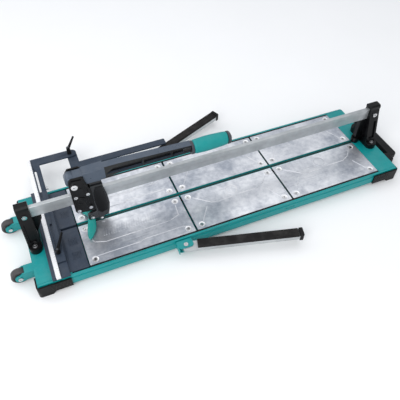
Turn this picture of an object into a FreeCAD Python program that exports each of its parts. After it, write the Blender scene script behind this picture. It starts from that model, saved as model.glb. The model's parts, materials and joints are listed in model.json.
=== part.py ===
import FreeCAD, Part
import math
import os

# Manual tile cutter: a sprung table on a long steel frame, with a scoring carriage
# on an overhead guide rail. Millimetres, +Z up.
# The model is drawn in the table's own frame: x runs along the cutting line from the
# left end of the table, y = 0 is the cutting line (the operator stands at -y), and
# z = 0 is the top of the table. The finished set is then moved so that the origin is
# on the floor, under the middle of the overall box.

# ---------------------------------------------------------------- driving dimensions
TABLE_LENGTH = 1200.0
TABLE_WIDTH = 379.6
TABLE_HEIGHT = 60.0
LEFT_END = 184.0
RIGHT_END = 85.0
FRAME_MARGIN = 16.2
RAIL_CLEARANCE = 120.0

# frame steelwork
SHEET = 3.0
SIDE_RAIL_DEPTH = 45.0
RAIL_WALL = 5.0
RAIL_RECESS = 2.5
RAIL_STRIPE_TOP = 2.5
RAIL_STRIPE_BOTTOM = 15.0
RAIL_LIP = 9.0
RAIL_FLANGE = 35.0
CROSS_TOP = 27.0
CROSS_WIDTH = 90.0
LATCH_HOLE_R = 2.5
LATCH_HOLE_SPACING = 34.0
LATCH_HOLE_X = 784.0
LATCH_HOLE_Z = -27.0

# table plates
PLATE_COLUMNS = 3
PLATE_GAP = 7.8
CENTRE_GAP = 18.4
PLATE_THICKNESS = 6.0
PLATE_CORNER_R = 2.5
SCREW_INSET_X = 23.0
SCREW_INSET_Y = 19.9
DIMPLE_R = 10.5
DIMPLE_DEPTH = 1.2
SCREW_HEAD_R = 7.0
SCREW_HEAD_HEIGHT = 2.4
SCREW_SHANK_R = 3.0
SCREW_SEAT = 3.0
SOCKET_R = 2.2
SPRING_BORE_R = 3.6
SPRING_VALLEY_R = 5.2
SPRING_CREST_R = 7.1
SPRING_FOLDS = 4

# centre beam and breaker bar
BEAM_WIDTH = 40.0
BREAKER_WIDTH = 8.0
BREAKER_DROP = 1.0
BREAKER_FOOT_DEPTH = 9.0

# end pads
PAD_LENGTH = 59.0
PAD_GAP = 4.0

# corner boots
BOOT_LENGTH = 118.0
BOOT_WRAP = 44.0
BOOT_WALL = 6.0
BOOT_RIM_DROP = 7.0
BOOT_PAD_LEFT = 40.0
BOOT_PAD_RIGHT = 36.0
BOOT_PAD_WIDTH = 52.0
BOOT_LIFT = 13.0

# guide rail and its posts
RAIL_WIDTH = 15.0
RAIL_HEIGHT = 48.0
RAIL_TUBE_WALL = 2.5
POST_LENGTH = 44.0
POST_TOP_WIDTH = 30.0
POST_BASE_WIDTH = 110.0
POST_CAP = 17.0
POST_CAP_LENGTH = 44.0
POST_INSET = 4.0
FOOT_HEIGHT = 24.0
FOOT_REACH = 74.0
FOOT_RIB_LENGTH = 30.0
FOOT_RIB_WIDTH = 18.0
POCKET_CLEARANCE = 0.2
POST_BOLT_R = 5.0
POST_BOLT_HEAD_R = 9.0
SEAT_SINK = 0.4
FOOT_BOLT_Y = 53.0
GUSSET_LOW = 40.0

# carriage
PIVOT_X = 24.0
PIVOT_ABOVE_RAIL = 61.0
CARRIAGE_PLATE = 6.0
CARRIAGE_INNER = 22.0
ROLLER_R = 10.0
ROLLER_WIDTH = 14.0
ROLLER_SPACING = 42.0
ROLLER_FIRST_X = 20.0
ROLLER_GAP = 0.3
AXLE_R = 4.0
PIVOT_BOLT_R = 6.0
RUNNING_GAP = 0.05

# handle
HANDLE_HALF = 20.0
ARM_HALF = 14.0
ARM_TOP = 29.0
ARM_BOTTOM = -8.0
ARM_END = 449.0
QUADRANT_REACH = 106.0
FLANGE = 7.0
WEB_HALF = 3.0
RIB_WIDTH = 5.0
CHEEK_GAP = 3.0
GRIP_R = 24.0
GRIP_LENGTH = 134.0
GRIP_CORE_R = 11.0
COLLAR = 9.0
GRIP_CAP = 12.0

# scoring and breaking head
WHEEL_R = 11.0
WHEEL_WIDTH = 3.5
WHEEL_X = 93.0
WHEEL_LIFT = 1.5
WHEEL_AXLE_R = 3.0
HOLDER_GAP = 0.6
BREAK_BOLT_X = 59.0
BREAK_BOLT_Z = 42.0
BREAK_BOLT_R = 5.0
WING_REACH = 88.0
WING_SWEEP = 24.0
WING_WIDTH = 24.0
WING_THICKNESS = 9.0
WING_LIFT = 2.0

# measuring fence and side stop
FENCE_LEFT = -131.0
FENCE_WIDTH = 60.0
FENCE_HEIGHT = 14.0
RULER_LEFT = -118.0
RULER_WIDTH = 15.5
RULER_RISE = 2.0
RULER_SEAT = 3.0
STUD_FLOOR = 2.0
FENCE_REACH = 392.0
SLIDE_WIDTH = 31.0
SLIDE_X0 = -102.0
SLIDE_THICKNESS = 6.0
SLIDE_INNER_END = 60.0
SLIDE_SLOT_START = 170.0
SLIDE_SLOT_END = 318.0
SLIDE_SLOT_WIDTH = 8.0
SLIDE_SLOT_X = -93.0
LINK_WIDTH = 40.0
THUMB_R = 6.0
THUMB_LENGTH = 9.0
STOP_ARM_WIDTH = 32.0
STOP_ARM_THICKNESS = 6.0
STOP_ARM_END = 453.0
STOP_FACE_Y = 285.0
STOP_LEG_X = 64.0
STOP_PIVOT_X = 57.0
SLIDE_TRAVEL = 130.0
STOP_GAP = 0.3
STUD_R = 4.0
STOP_LEVER = {"length": 57.0, "angle": 53.0, "rise": 18.0, "boss": 32.0}
FENCE_LEVER = {"length": 72.0, "angle": 66.0, "rise": 3.0, "boss": 20.0}
FENCE_LEVER_X = -90.0
FENCE_LEVER_Y = -105.0
LEVER_BOSS_R = 9.0
LEVER_ROOT_R = 6.0
LEVER_TIP_R = 4.2

# folding side supports
ARM_PIVOT_X = 338.0
ARM_PIVOT_OFFSET = 24.0
ARM_LENGTH = 420.0
ARM_WIDTH = 35.0
ARM_CHANNEL_HEIGHT = 18.0
ARM_CHANNEL_WALL = 2.5
ARM_PAD_HEIGHT = 9.0
ARM_PAD_START = 42.0
ARM_DROP = 0.5
ARM_PIN_R = 5.0
FRONT_ARM_ANGLE = -14.9
REAR_ARM_ANGLE = 23.2
BRACKET_SHEET = 3.0
BRACKET_LENGTH = 56.0

# transport wheels
TRANSPORT_R = 30.0
TRANSPORT_WIDTH = 24.0
TRANSPORT_Y = 115.0
TRANSPORT_OFFSET = 50.0
TRANSPORT_HUB_R = 11.0
TRANSPORT_AXLE_R = 4.0
CHEEK_SHEET = 4.0
CHEEK_R = 17.0
WHEEL_FLOOR_GAP = 1.0

# carry handle
CARRY_HALF = 150.0
CARRY_REACH = 65.0
CARRY_BAR = 38.0
CARRY_BAR_HALF = 130.0
CARRY_THICKNESS = 24.0
CARRY_Z = -22.0
CARRY_LEG = 40.0

# ---------------------------------------------------------------- values that follow
FRAME_HALF = TABLE_WIDTH / 2 + FRAME_MARGIN
PLATE_HALF = TABLE_WIDTH / 2
FRAME_X0 = -LEFT_END
FRAME_X1 = TABLE_LENGTH + RIGHT_END
FLOOR_Z = -TABLE_HEIGHT
RAIL_Z0 = RAIL_CLEARANCE
RAIL_Z1 = RAIL_CLEARANCE + RAIL_HEIGHT
PIVOT_Z = RAIL_Z1 + PIVOT_ABOVE_RAIL
PLATE_LENGTH = (TABLE_LENGTH - (PLATE_COLUMNS - 1) * PLATE_GAP) / PLATE_COLUMNS
PLATE_PITCH = PLATE_LENGTH + PLATE_GAP
POST_LEFT_X0 = FRAME_X0 + POST_INSET
POST_RIGHT_X1 = FRAME_X1 - POST_INSET
RAIL_X0 = POST_LEFT_X0 + 8.0
RAIL_X1 = POST_RIGHT_X1 - 8.0
WHEEL_Z = WHEEL_LIFT + WHEEL_R
ARM_PIVOT_Y = FRAME_HALF + ARM_PIVOT_OFFSET
TRANSPORT_Z = FLOOR_Z + TRANSPORT_R + WHEEL_FLOOR_GAP
TRANSPORT_X = FRAME_X0 - TRANSPORT_OFFSET
STOP_PIVOT_Y = FENCE_REACH - LINK_WIDTH / 2
LINK_Z0 = STOP_ARM_THICKNESS + 2.0 + STOP_GAP
LINK_Z1 = LINK_Z0 + SLIDE_THICKNESS
SLIDE_RIGHT = SLIDE_X0 + SLIDE_WIDTH
THUMB_Y = FRAME_HALF + 8


# ---------------------------------------------------------------- small shape helpers
def vec(x, y, z):
    return FreeCAD.Vector(x, y, z)


def block(x0, x1, y0, y1, z0, z1):
    """Box between two corners."""
    return Part.makeBox(x1 - x0, y1 - y0, z1 - z0, vec(x0, y0, z0))


def rod(radius, x, y, z0, z1):
    """Upright cylinder."""
    return Part.makeCylinder(radius, z1 - z0, vec(x, y, z0), vec(0, 0, 1))


def rod_y(radius, x, z, y0, y1):
    """Cylinder along y."""
    return Part.makeCylinder(radius, y1 - y0, vec(x, y0, z), vec(0, 1, 0))


def rod_x(radius, y, z, x0, x1):
    """Cylinder along x."""
    return Part.makeCylinder(radius, x1 - x0, vec(x0, y, z), vec(1, 0, 0))


def plate_xz(points, y0, y1):
    """Flat plate whose outline is given by (x, z) points."""
    wire = Part.makePolygon([vec(x, y0, z) for x, z in points + points[:1]])
    return Part.Face(wire).extrude(vec(0, y1 - y0, 0))


def plate_xy(points, z0, z1):
    """Flat plate whose outline is given by (x, y) points."""
    wire = Part.makePolygon([vec(x, y, z0) for x, y in points + points[:1]])
    return Part.Face(wire).extrude(vec(0, 0, z1 - z0))


def bar_yz(points, x0, x1):
    """Straight bar along x whose section is given by (y, z) points."""
    wire = Part.makePolygon([vec(x0, y, z) for y, z in points + points[:1]])
    return Part.Face(wire).extrude(vec(x1 - x0, 0, 0))


def stadium(x0, y0, x1, y1, radius, z0, z1):
    """Upright plate with round ends, centred on the line between two points."""
    length = math.hypot(x1 - x0, y1 - y0)
    middle = block(0, length, -radius, radius, z0, z1)
    shape = middle.fuse([rod(radius, 0, 0, z0, z1), rod(radius, length, 0, z0, z1)])
    shape.rotate(vec(0, 0, 0), vec(0, 0, 1), math.degrees(math.atan2(y1 - y0, x1 - x0)))
    shape.translate(vec(x0, y0, 0))
    return shape.removeSplitter()


def edges_along(shape, direction, test):
    """Straight edges of a shape that run along a direction and pass a test on their middle."""
    found = []
    for edge in shape.Edges:
        if not isinstance(edge.Curve, (Part.Line, Part.LineSegment)):
            continue
        run = edge.Vertexes[-1].Point - edge.Vertexes[0].Point
        run.normalize()
        if abs(run.dot(direction)) > 0.999 and test(edge.CenterOfMass):
            found.append(edge)
    return found


def round_upright(shape, radius, test=lambda p: True):
    """Rounds the upright edges of a shape."""
    return shape.makeFillet(radius, edges_along(shape, vec(0, 0, 1), test))


def mirror_y(shape):
    """The same piece on the other side of the cutting line."""
    return shape.mirror(vec(0, 0, 0), vec(0, 1, 0))


def socket_cut(x, y, z_top, depth):
    """Hexagon socket cut into the top of a screw head."""
    corner = [(x + SOCKET_R * math.cos(math.radians(60 * k)), y + SOCKET_R * math.sin(math.radians(60 * k)))
              for k in range(6)]
    return plate_xy(corner, z_top - depth, z_top + 1)


def bolt_y(x, z, y_head, y_end, shank_r, head_r, head_length):
    """Bolt along y with a socket head at y_head; the shank runs to y_end."""
    way = 1 if y_end > y_head else -1
    axis = vec(0, way, 0)
    head = Part.makeCylinder(head_r, head_length, vec(x, y_head, z), axis)
    shank = Part.makeCylinder(shank_r, abs(y_end - y_head), vec(x, y_head, z), axis)
    socket = Part.makeCylinder(head_r * 0.45, head_length * 0.6, vec(x, y_head, z), axis)
    return head.fuse(shank).cut(socket).removeSplitter()


# ---------------------------------------------------------------- frame
def side_rail():
    """Front side rail: a flanged channel with a recessed stripe along its outer face."""
    outer = -FRAME_HALF
    stripe = outer + RAIL_RECESS
    inner = outer + RAIL_WALL
    bottom = -SIDE_RAIL_DEPTH
    section = [
        (outer, -RAIL_STRIPE_BOTTOM), (outer, bottom), (outer + RAIL_FLANGE, bottom),
        (outer + RAIL_FLANGE, bottom + SHEET), (inner, bottom + SHEET), (inner, -SHEET),
        (outer + RAIL_LIP, -SHEET), (outer + RAIL_LIP, 0), (outer + 1, 0),
        (outer + 1, -RAIL_STRIPE_TOP), (stripe, -RAIL_STRIPE_TOP), (stripe, -RAIL_STRIPE_BOTTOM),
    ]
    rail = bar_yz(section, FRAME_X0 + SHEET, FRAME_X1 - SHEET)
    for side in (-1, 1):
        x = LATCH_HOLE_X + side * LATCH_HOLE_SPACING / 2
        rail = rail.cut(rod_y(LATCH_HOLE_R, x, LATCH_HOLE_Z, outer - 1, inner + 1))
    return rail


def end_plate(x_outer, x_inner):
    """Folded end plate: a flat top with one flange down over the ends of the side rails."""
    low, high = min(x_outer, x_inner), max(x_outer, x_inner)
    way = 1 if x_inner > x_outer else -1
    half_top = FRAME_HALF - RAIL_LIP - 0.5
    top = block(low, high, -half_top, half_top, -SHEET, 0)
    flange_x = sorted((x_outer, x_outer + way * SHEET))
    flange = block(flange_x[0], flange_x[1], -FRAME_HALF, FRAME_HALF, -SIDE_RAIL_DEPTH, -SHEET)
    web = block(flange_x[0], flange_x[1], -half_top, half_top, -SHEET - 1, 0)
    return top.fuse([flange, web]).removeSplitter()


def cross_member(x_middle):
    """Inverted channel that ties the two side rails together under the table."""
    half = FRAME_HALF - RAIL_WALL
    x0, x1 = x_middle - CROSS_WIDTH / 2, x_middle + CROSS_WIDTH / 2
    bottom = -SIDE_RAIL_DEPTH + SHEET
    body = block(x0, x1, -half, half, bottom, -CROSS_TOP)
    hollow = block(x0 + SHEET, x1 - SHEET, -half - 1, half + 1, bottom - 1, -CROSS_TOP - SHEET)
    return body.cut(hollow)


def cross_middles():
    """One member under each pair of plate ends, and one under each end of the table."""
    inner = [k * PLATE_PITCH - PLATE_GAP / 2 for k in range(1, PLATE_COLUMNS)]
    return [CROSS_WIDTH / 2 - PAD_LENGTH + 10] + inner + [TABLE_LENGTH - CROSS_WIDTH / 2 + 20]


def centre_beam():
    """Box beam under the cutting line, resting on the cross members."""
    x0, x1 = FRAME_X0 + SHEET, FRAME_X1 - SHEET
    half = BEAM_WIDTH / 2
    top = -PLATE_THICKNESS - BREAKER_FOOT_DEPTH
    beam = block(x0, x1, -half, half, -CROSS_TOP, top)
    return beam.cut(block(x0 - 1, x1 + 1, -half + SHEET, half - SHEET, -CROSS_TOP + SHEET, top - SHEET))


def breaker_bar():
    """Breaking strip in the gap between the two rows of plates."""
    low = -PLATE_THICKNESS - BREAKER_FOOT_DEPTH
    half = BREAKER_WIDTH / 2
    section = [(-half - 3, low), (half + 3, low), (half + 3, low + 3), (half, low + 4),
               (half, -BREAKER_DROP - 2), (half - 2, -BREAKER_DROP), (-half + 2, -BREAKER_DROP),
               (-half, -BREAKER_DROP - 2), (-half, low + 4), (-half - 3, low + 3)]
    return bar_yz(section, 0, TABLE_LENGTH)


def corner_boot(x_corner, way, pad_length):
    """Front corner boot: a soft cap round the corner, with the foot that the cutter stands on."""
    def along(a, b):
        return sorted((x_corner + way * a, x_corner + way * b))

    y_out = -FRAME_HALF - BOOT_WALL
    y_wrap = -FRAME_HALF + BOOT_WRAP
    rim = -BOOT_RIM_DROP
    x0, x1 = along(-BOOT_WALL, BOOT_LENGTH - BOOT_WALL)
    side = block(x0, x1, y_out, -FRAME_HALF, FLOOR_Z, rim)
    x0, x1 = along(-BOOT_WALL, 0)
    end = block(x0, x1, y_out, y_wrap, FLOOR_Z, rim)
    x0, x1 = along(-BOOT_WALL, BOOT_LENGTH - BOOT_WALL)
    sole = block(x0, x1, y_out, -FRAME_HALF + BOOT_PAD_WIDTH, FLOOR_Z, -SIDE_RAIL_DEPTH)
    boot = side.fuse([end, sole]).removeSplitter()
    boot = boot.makeFillet(10, edges_along(boot, vec(0, 0, 1), lambda p: abs(p.y - y_out) < 0.1
                                           and abs(p.x - (x_corner - way * BOOT_WALL)) < 0.1))
    wedge = [(x_corner + way * pad_length, FLOOR_Z - 1),
             (x_corner + way * (pad_length + BOOT_LIFT), FLOOR_Z + BOOT_LIFT),
             (x_corner + way * (BOOT_LENGTH + 5), FLOOR_Z + BOOT_LIFT),
             (x_corner + way * (BOOT_LENGTH + 5), FLOOR_Z - 1)]
    return boot.cut(plate_xz(wedge, y_out - 1, 0))


def end_pad():
    """Textured front pad between the fence and the first plate."""
    pad = block(-PAD_LENGTH - PAD_GAP, -PAD_GAP, -PLATE_HALF - 1.5, -CENTRE_GAP / 2 + 4, -CROSS_TOP, 0)
    return pad.cut(block(-PAD_LENGTH - PAD_GAP - 1, 0, -BEAM_WIDTH / 2 - 0.5, 0, -CROSS_TOP - 1,
                         -PLATE_THICKNESS - BREAKER_FOOT_DEPTH + 0.5))


# ---------------------------------------------------------------- rail and posts
def guide_rail():
    """Aluminium box rail that carries the carriage."""
    half = RAIL_WIDTH / 2
    edge = 1.0
    section = [(-half + edge, RAIL_Z0), (half - edge, RAIL_Z0), (half, RAIL_Z0 + edge),
               (half, RAIL_Z1 - edge), (half - edge, RAIL_Z1), (-half + edge, RAIL_Z1),
               (-half, RAIL_Z1 - edge), (-half, RAIL_Z0 + edge)]
    rail = bar_yz(section, RAIL_X0, RAIL_X1)
    middle = (RAIL_Z0 + RAIL_Z1) / 2
    wall = RAIL_TUBE_WALL
    low = block(RAIL_X0 - 1, RAIL_X1 + 1, -half + wall, half - wall, RAIL_Z0 + wall, middle - wall / 2)
    high = block(RAIL_X0 - 1, RAIL_X1 + 1, -half + wall, half - wall, middle + wall / 2, RAIL_Z1 - wall)
    rail = rail.cut(low.fuse(high))
    for x in (POST_LEFT_X0 + POST_LENGTH / 2, POST_RIGHT_X1 - POST_LENGTH / 2):
        rail = rail.cut(rod_y(POST_BOLT_R + RUNNING_GAP, x, middle, -half - 1, half + 1))
    return rail


def post_half(z):
    """Half width of the post's column at a height."""
    return (POST_BASE_WIDTH - (POST_BASE_WIDTH - POST_TOP_WIDTH) * z / RAIL_Z1) / 2


def bolt_seat():
    """Distance from the middle of the post to the flat that the cross bolt's head sits on."""
    return post_half((RAIL_Z0 + RAIL_Z1) / 2 + POST_BOLT_HEAD_R + 1) - SEAT_SINK


def post(x_outer, way, on_fence):
    """Cast post: spreading column, lobed foot and a rib under the end of the rail."""
    x_inner = x_outer + way * POST_LENGTH
    low, high = min(x_outer, x_inner), max(x_outer, x_inner)
    x_mid = (low + high) / 2
    top = POST_TOP_WIDTH / 2
    base = POST_BASE_WIDTH / 2
    cap_top = RAIL_Z1 + POST_CAP
    column = bar_yz([(-base, 0), (base, 0), (top, RAIL_Z1), (-top, RAIL_Z1)], low, high)
    cap_half = POST_CAP_LENGTH / 2
    cap = bar_yz([(-top - 2, RAIL_Z1), (top + 2, RAIL_Z1), (top + 2, cap_top - 5), (top - 4, cap_top),
                  (-top + 4, cap_top), (-top - 2, cap_top - 5)], x_mid - cap_half, x_mid + cap_half)
    lobe = POST_LENGTH / 2
    foot = stadium(x_mid, -FOOT_REACH + lobe, x_mid, FOOT_REACH - lobe, lobe, 0, FOOT_HEIGHT)
    rib_half = FOOT_RIB_WIDTH / 2
    rib_top = RAIL_Z0 - POCKET_CLEARANCE
    rib_end = x_inner + way * FOOT_RIB_LENGTH
    if on_fence:
        outline = [(x_inner, GUSSET_LOW), (x_inner, rib_top), (rib_end, rib_top), (rib_end, rib_top - 12)]
        rib = plate_xz(outline, -rib_half, rib_half)
        body = column.fuse([cap, foot, rib])
    else:
        outline = [(x_inner, 0), (x_inner, rib_top), (rib_end, rib_top), (rib_end, 0)]
        rib = plate_xz(outline, -rib_half, rib_half)
        toe = rod(rib_half + 8, x_inner + way * (FOOT_RIB_LENGTH - 10), 0, 0, FOOT_HEIGHT)
        body = column.fuse([cap, foot, rib, toe])
    pocket_half = RAIL_WIDTH / 2 + POCKET_CLEARANCE
    pocket_x = sorted((x_outer + way * 7.5, x_inner + way * 10))
    pocket = block(pocket_x[0], pocket_x[1], -pocket_half, pocket_half,
                   RAIL_Z0 - POCKET_CLEARANCE, RAIL_Z1 + POCKET_CLEARANCE)
    body = body.cut(pocket)
    wall = 6.0
    flute_low, flute_high = FOOT_HEIGHT + 14, RAIL_Z0 - 6
    for side in (-1, 1):
        deep, shallow = post_half(flute_low) - wall, post_half(flute_high) - wall
        flute = bar_yz([(side * deep, flute_low), (side * (base + 1), flute_low),
                        (side * (base + 1), flute_high), (side * shallow, flute_high)], low + 9, high - 9)
        body = body.cut(flute)
    middle = (RAIL_Z0 + RAIL_Z1) / 2
    body = body.cut(rod_y(POST_BOLT_R + RUNNING_GAP, x_mid, middle, -base - 1, base + 1))
    seat = bolt_seat()
    for side in (-1, 1):
        face = sorted((side * seat, side * base))
        body = body.cut(rod_y(POST_BOLT_HEAD_R + 1, x_mid, middle, face[0], face[1]))
        body = body.cut(rod(POST_BOLT_R, x_mid, side * FOOT_BOLT_Y, -1, FOOT_HEIGHT + 1))
        body = body.cut(rod(POST_BOLT_HEAD_R + 1, x_mid, side * FOOT_BOLT_Y, FOOT_HEIGHT - 3, RAIL_Z0))
    return body.removeSplitter()


def post_bolts(x_mid):
    """Cross bolt through the rail and two foot bolts, for one post."""
    middle = (RAIL_Z0 + RAIL_Z1) / 2
    seat = bolt_seat()
    cross = bolt_y(x_mid, middle, -seat - 7, seat + 6, POST_BOLT_R, POST_BOLT_HEAD_R, 7)
    nut = rod_y(POST_BOLT_HEAD_R - 1, x_mid, middle, seat, seat + 6)
    bolts = [cross.fuse(nut)]
    for side in (-1, 1):
        y = side * FOOT_BOLT_Y
        head = rod(POST_BOLT_HEAD_R - 2.5, x_mid, y, FOOT_HEIGHT - 3, FOOT_HEIGHT + 3)
        washer = rod(POST_BOLT_HEAD_R, x_mid, y, FOOT_HEIGHT - 3, FOOT_HEIGHT - 1.5)
        shank = rod(POST_BOLT_R - 0.2, x_mid, y, 0, FOOT_HEIGHT)
        bolts.append(head.fuse([washer, shank]).cut(socket_cut(x_mid, y, FOOT_HEIGHT + 3, 3)))
    return bolts


# ---------------------------------------------------------------- table
def table_plate(column):
    """One front plate of the table, with a dimple and a hole at each corner."""
    x0 = column * PLATE_PITCH
    plate = block(x0, x0 + PLATE_LENGTH, -PLATE_HALF, -CENTRE_GAP / 2, -PLATE_THICKNESS, 0)
    plate = round_upright(plate, PLATE_CORNER_R)
    for x, y in plate_screws(column):
        plate = plate.cut(rod(DIMPLE_R, x, y, -DIMPLE_DEPTH, 1))
        plate = plate.cut(rod(SCREW_HEAD_R + 0.4, x, y, -SCREW_SEAT, 1))
        plate = plate.cut(rod(SCREW_SHANK_R + 0.4, x, y, -PLATE_THICKNESS - 1, 1))
    return plate


def plate_screws(column):
    """Places of the four screws of one front plate."""
    x0 = column * PLATE_PITCH
    across = (-PLATE_HALF + SCREW_INSET_Y, -CENTRE_GAP / 2 - SCREW_INSET_Y)
    return [(x, y) for x in (x0 + SCREW_INSET_X, x0 + PLATE_LENGTH - SCREW_INSET_X) for y in across]


def table_screw(x, y):
    """Shoulder screw: its head stops the plate, its shank stands on a cross member."""
    seat = -SCREW_SEAT
    head = rod(SCREW_HEAD_R, x, y, seat, seat + SCREW_HEAD_HEIGHT)
    shank = rod(SCREW_SHANK_R, x, y, -CROSS_TOP, seat)
    return head.fuse(shank).cut(socket_cut(x, y, seat + SCREW_HEAD_HEIGHT, 1.5))


def table_spring(x, y):
    """Corrugated rubber spring round one screw, between a cross member and the plate."""
    low, high = -CROSS_TOP, -PLATE_THICKNESS
    fold = (high - low) / SPRING_FOLDS
    profile = [(SPRING_BORE_R, low)]
    for k in range(SPRING_FOLDS):
        profile.append((SPRING_VALLEY_R, low + k * fold))
        profile.append((SPRING_CREST_R, low + (k + 0.5) * fold))
    profile += [(SPRING_VALLEY_R, high), (SPRING_BORE_R, high)]
    corners = [vec(radius, 0, z) for radius, z in profile + profile[:1]]
    spring = Part.Face(Part.makePolygon(corners)).revolve(vec(0, 0, 0), vec(0, 0, 1), 360)
    spring.translate(vec(x, y, 0))
    return spring


# ---------------------------------------------------------------- carriage
def roller_places():
    """Axle places (x, z) of the four rollers: two above the rail and two below."""
    lift = ROLLER_R + ROLLER_GAP
    return [(ROLLER_FIRST_X + k * ROLLER_SPACING, z)
            for z in (RAIL_Z1 + lift, RAIL_Z0 - lift) for k in (0, 1)]


def carriage_plate():
    """Front side plate of the carriage, with the raised panel that faces the operator."""
    left, right = ROLLER_FIRST_X - 12, ROLLER_FIRST_X + ROLLER_SPACING + 14
    low, high = RAIL_Z0 - 30, PIVOT_Z + 32
    outline = [(left, low + 14), (left + 6, low + 4), (left + 40, low), (right, low), (right, RAIL_Z1 + 16),
               (right - 11, PIVOT_Z - 6), (right - 16, high - 5), (right - 21, high),
               (left + 9, high), (left, high - 14)]
    y_in = -CARRIAGE_INNER
    plate = plate_xz(outline, y_in - CARRIAGE_PLATE, y_in)
    panel = [(left + 4, low + 22), (left + 44, low + 12), (left + 47, RAIL_Z1 + 14),
             (left + 44, PIVOT_Z + 22), (left + 12, PIVOT_Z + 25), (left + 4, PIVOT_Z + 12)]
    plate = plate.fuse(plate_xz(panel, y_in - CARRIAGE_PLATE - 3, y_in))
    y_out = y_in - CARRIAGE_PLATE
    recess = block(left + 52, right - 5, y_out - 1, y_out + 2.5, low + 8, RAIL_Z1)
    plate = plate.cut(recess)
    for x, z in roller_places():
        plate = plate.cut(rod_y(AXLE_R + RUNNING_GAP, x, z, y_in - 20, y_in + 1))
    plate = plate.cut(rod_y(PIVOT_BOLT_R + RUNNING_GAP, PIVOT_X, PIVOT_Z, y_in - 20, y_in + 1))
    return plate.removeSplitter()


def carriage_bolts():
    """Pivot bolt and the four roller axles, each with a head in front and a nut behind."""
    face = CARRIAGE_INNER + CARRIAGE_PLATE
    bolts = []
    for x, z in roller_places():
        panel = 3 if x < ROLLER_FIRST_X + 40 else 0
        head_y = -face - panel - 4
        bolt = bolt_y(x, z, head_y, face, AXLE_R, 6.5, 4)
        bolts.append(bolt.fuse(rod_y(6, x, z, face + panel, face + panel + 4))
                     .fuse(rod_y(AXLE_R, x, z, face - 1, face + panel + 1)))
    pivot = bolt_y(PIVOT_X, PIVOT_Z, -face - 3 - 5, face, PIVOT_BOLT_R, 11, 5)
    nut = rod_y(10, PIVOT_X, PIVOT_Z, face + 3, face + 9)
    bolts.append(pivot.fuse([nut, rod_y(PIVOT_BOLT_R, PIVOT_X, PIVOT_Z, face - 1, face + 4)]))
    return bolts


def guide_roller(x, z):
    """Ball race roller that runs on the rail."""
    half = ROLLER_WIDTH / 2
    roller = rod_y(ROLLER_R, x, z, -half, half)
    for side in (-1, 1):
        groove = rod_y(ROLLER_R - 2, x, z, side * half - 1, side * half + 1)
        roller = roller.cut(groove.cut(rod_y(AXLE_R + 2, x, z, -half - 2, half + 2)))
    return roller.cut(rod_y(AXLE_R + RUNNING_GAP, x, z, -half - 1, half + 1))


# ---------------------------------------------------------------- handle and head
def handle_lever():
    """Cast lever: pivot root, ribbed arm, and two cheeks that straddle the rail."""
    root_top = PIVOT_Z + 28
    arm_top, arm_low = PIVOT_Z + ARM_TOP, PIVOT_Z + ARM_BOTTOM
    half = HANDLE_HALF
    root = plate_xz([(PIVOT_X - 16, PIVOT_Z - 12), (PIVOT_X - 16, root_top - 14), (PIVOT_X - 6, root_top),
                     (PIVOT_X + 34, root_top), (PIVOT_X + 40, arm_top + 4), (PIVOT_X + 110, arm_top + 6),
                     (PIVOT_X + 110, arm_low), (PIVOT_X + 40, PIVOT_Z - 22)], -half, half)
    arm = plate_xz([(PIVOT_X + 100, arm_low - 6), (PIVOT_X + 100, arm_top + 6), (PIVOT_X + 160, arm_top + 6),
                    (ARM_END, arm_top - 6), (ARM_END, arm_low), (PIVOT_X + 170, arm_low)],
                   -ARM_HALF, ARM_HALF)
    cheek_out = half
    cheek_in = RAIL_WIDTH / 2 + CHEEK_GAP
    bridge_top = 62.0
    outline = [(BREAK_BOLT_X - 14, bridge_top - 8), (BREAK_BOLT_X - 14, BREAK_BOLT_Z - 8),
               (BREAK_BOLT_X - 8, BREAK_BOLT_Z - 12), (BREAK_BOLT_X + 22, BREAK_BOLT_Z - 12),
               (WHEEL_X + 26, BREAK_BOLT_Z - 6), (PIVOT_X + 101, 59), (PIVOT_X + QUADRANT_REACH, 95),
               (PIVOT_X + 103, 134), (PIVOT_X + 95, RAIL_Z1 + 12), (PIVOT_X + 92, PIVOT_Z - 10),
               (PIVOT_X + 50, PIVOT_Z - 10), (PIVOT_X + 54, bridge_top + 8),
               (BREAK_BOLT_X - 4, bridge_top + 2)]
    quadrant = plate_xz(outline, -cheek_out, cheek_out)
    passage = block(0, 300, -cheek_in, cheek_in, bridge_top, PIVOT_Z - 14)
    quadrant = quadrant.cut(passage)
    body = root.fuse([arm, quadrant])
    body = body.cut(block(BREAK_BOLT_X - 30, BREAK_BOLT_X + 12, -9, 9, 0, bridge_top + 6))
    shade = plate_xz([(PIVOT_X + 44, PIVOT_Z - 30), (PIVOT_X + 96, PIVOT_Z - 32),
                      (PIVOT_X + 94, PIVOT_Z - 14),
                      (PIVOT_X + 42, PIVOT_Z - 12)], -half - 1, -half + 5)
    body = body.cut(shade).cut(mirror_y(shade))
    body = body.fuse(wheel_holder())
    for side in (-1, 1):
        body = body.cut(arm_pockets(side, arm_top, arm_low))
    body = body.fuse(rod_x(GRIP_CORE_R, 0, PIVOT_Z, ARM_END - 30, ARM_END + GRIP_LENGTH + COLLAR + 16))
    body = body.cut(rod_y(PIVOT_BOLT_R + RUNNING_GAP, PIVOT_X, PIVOT_Z, -half - 1, half + 1))
    body = body.cut(rod_y(BREAK_BOLT_R - 1 + RUNNING_GAP, BREAK_BOLT_X, BREAK_BOLT_Z, -half - 1, half + 1))
    body = body.cut(rod_y(WHEEL_AXLE_R + RUNNING_GAP, WHEEL_X, WHEEL_Z, -half - 1, half + 1))
    return body.removeSplitter()


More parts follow.
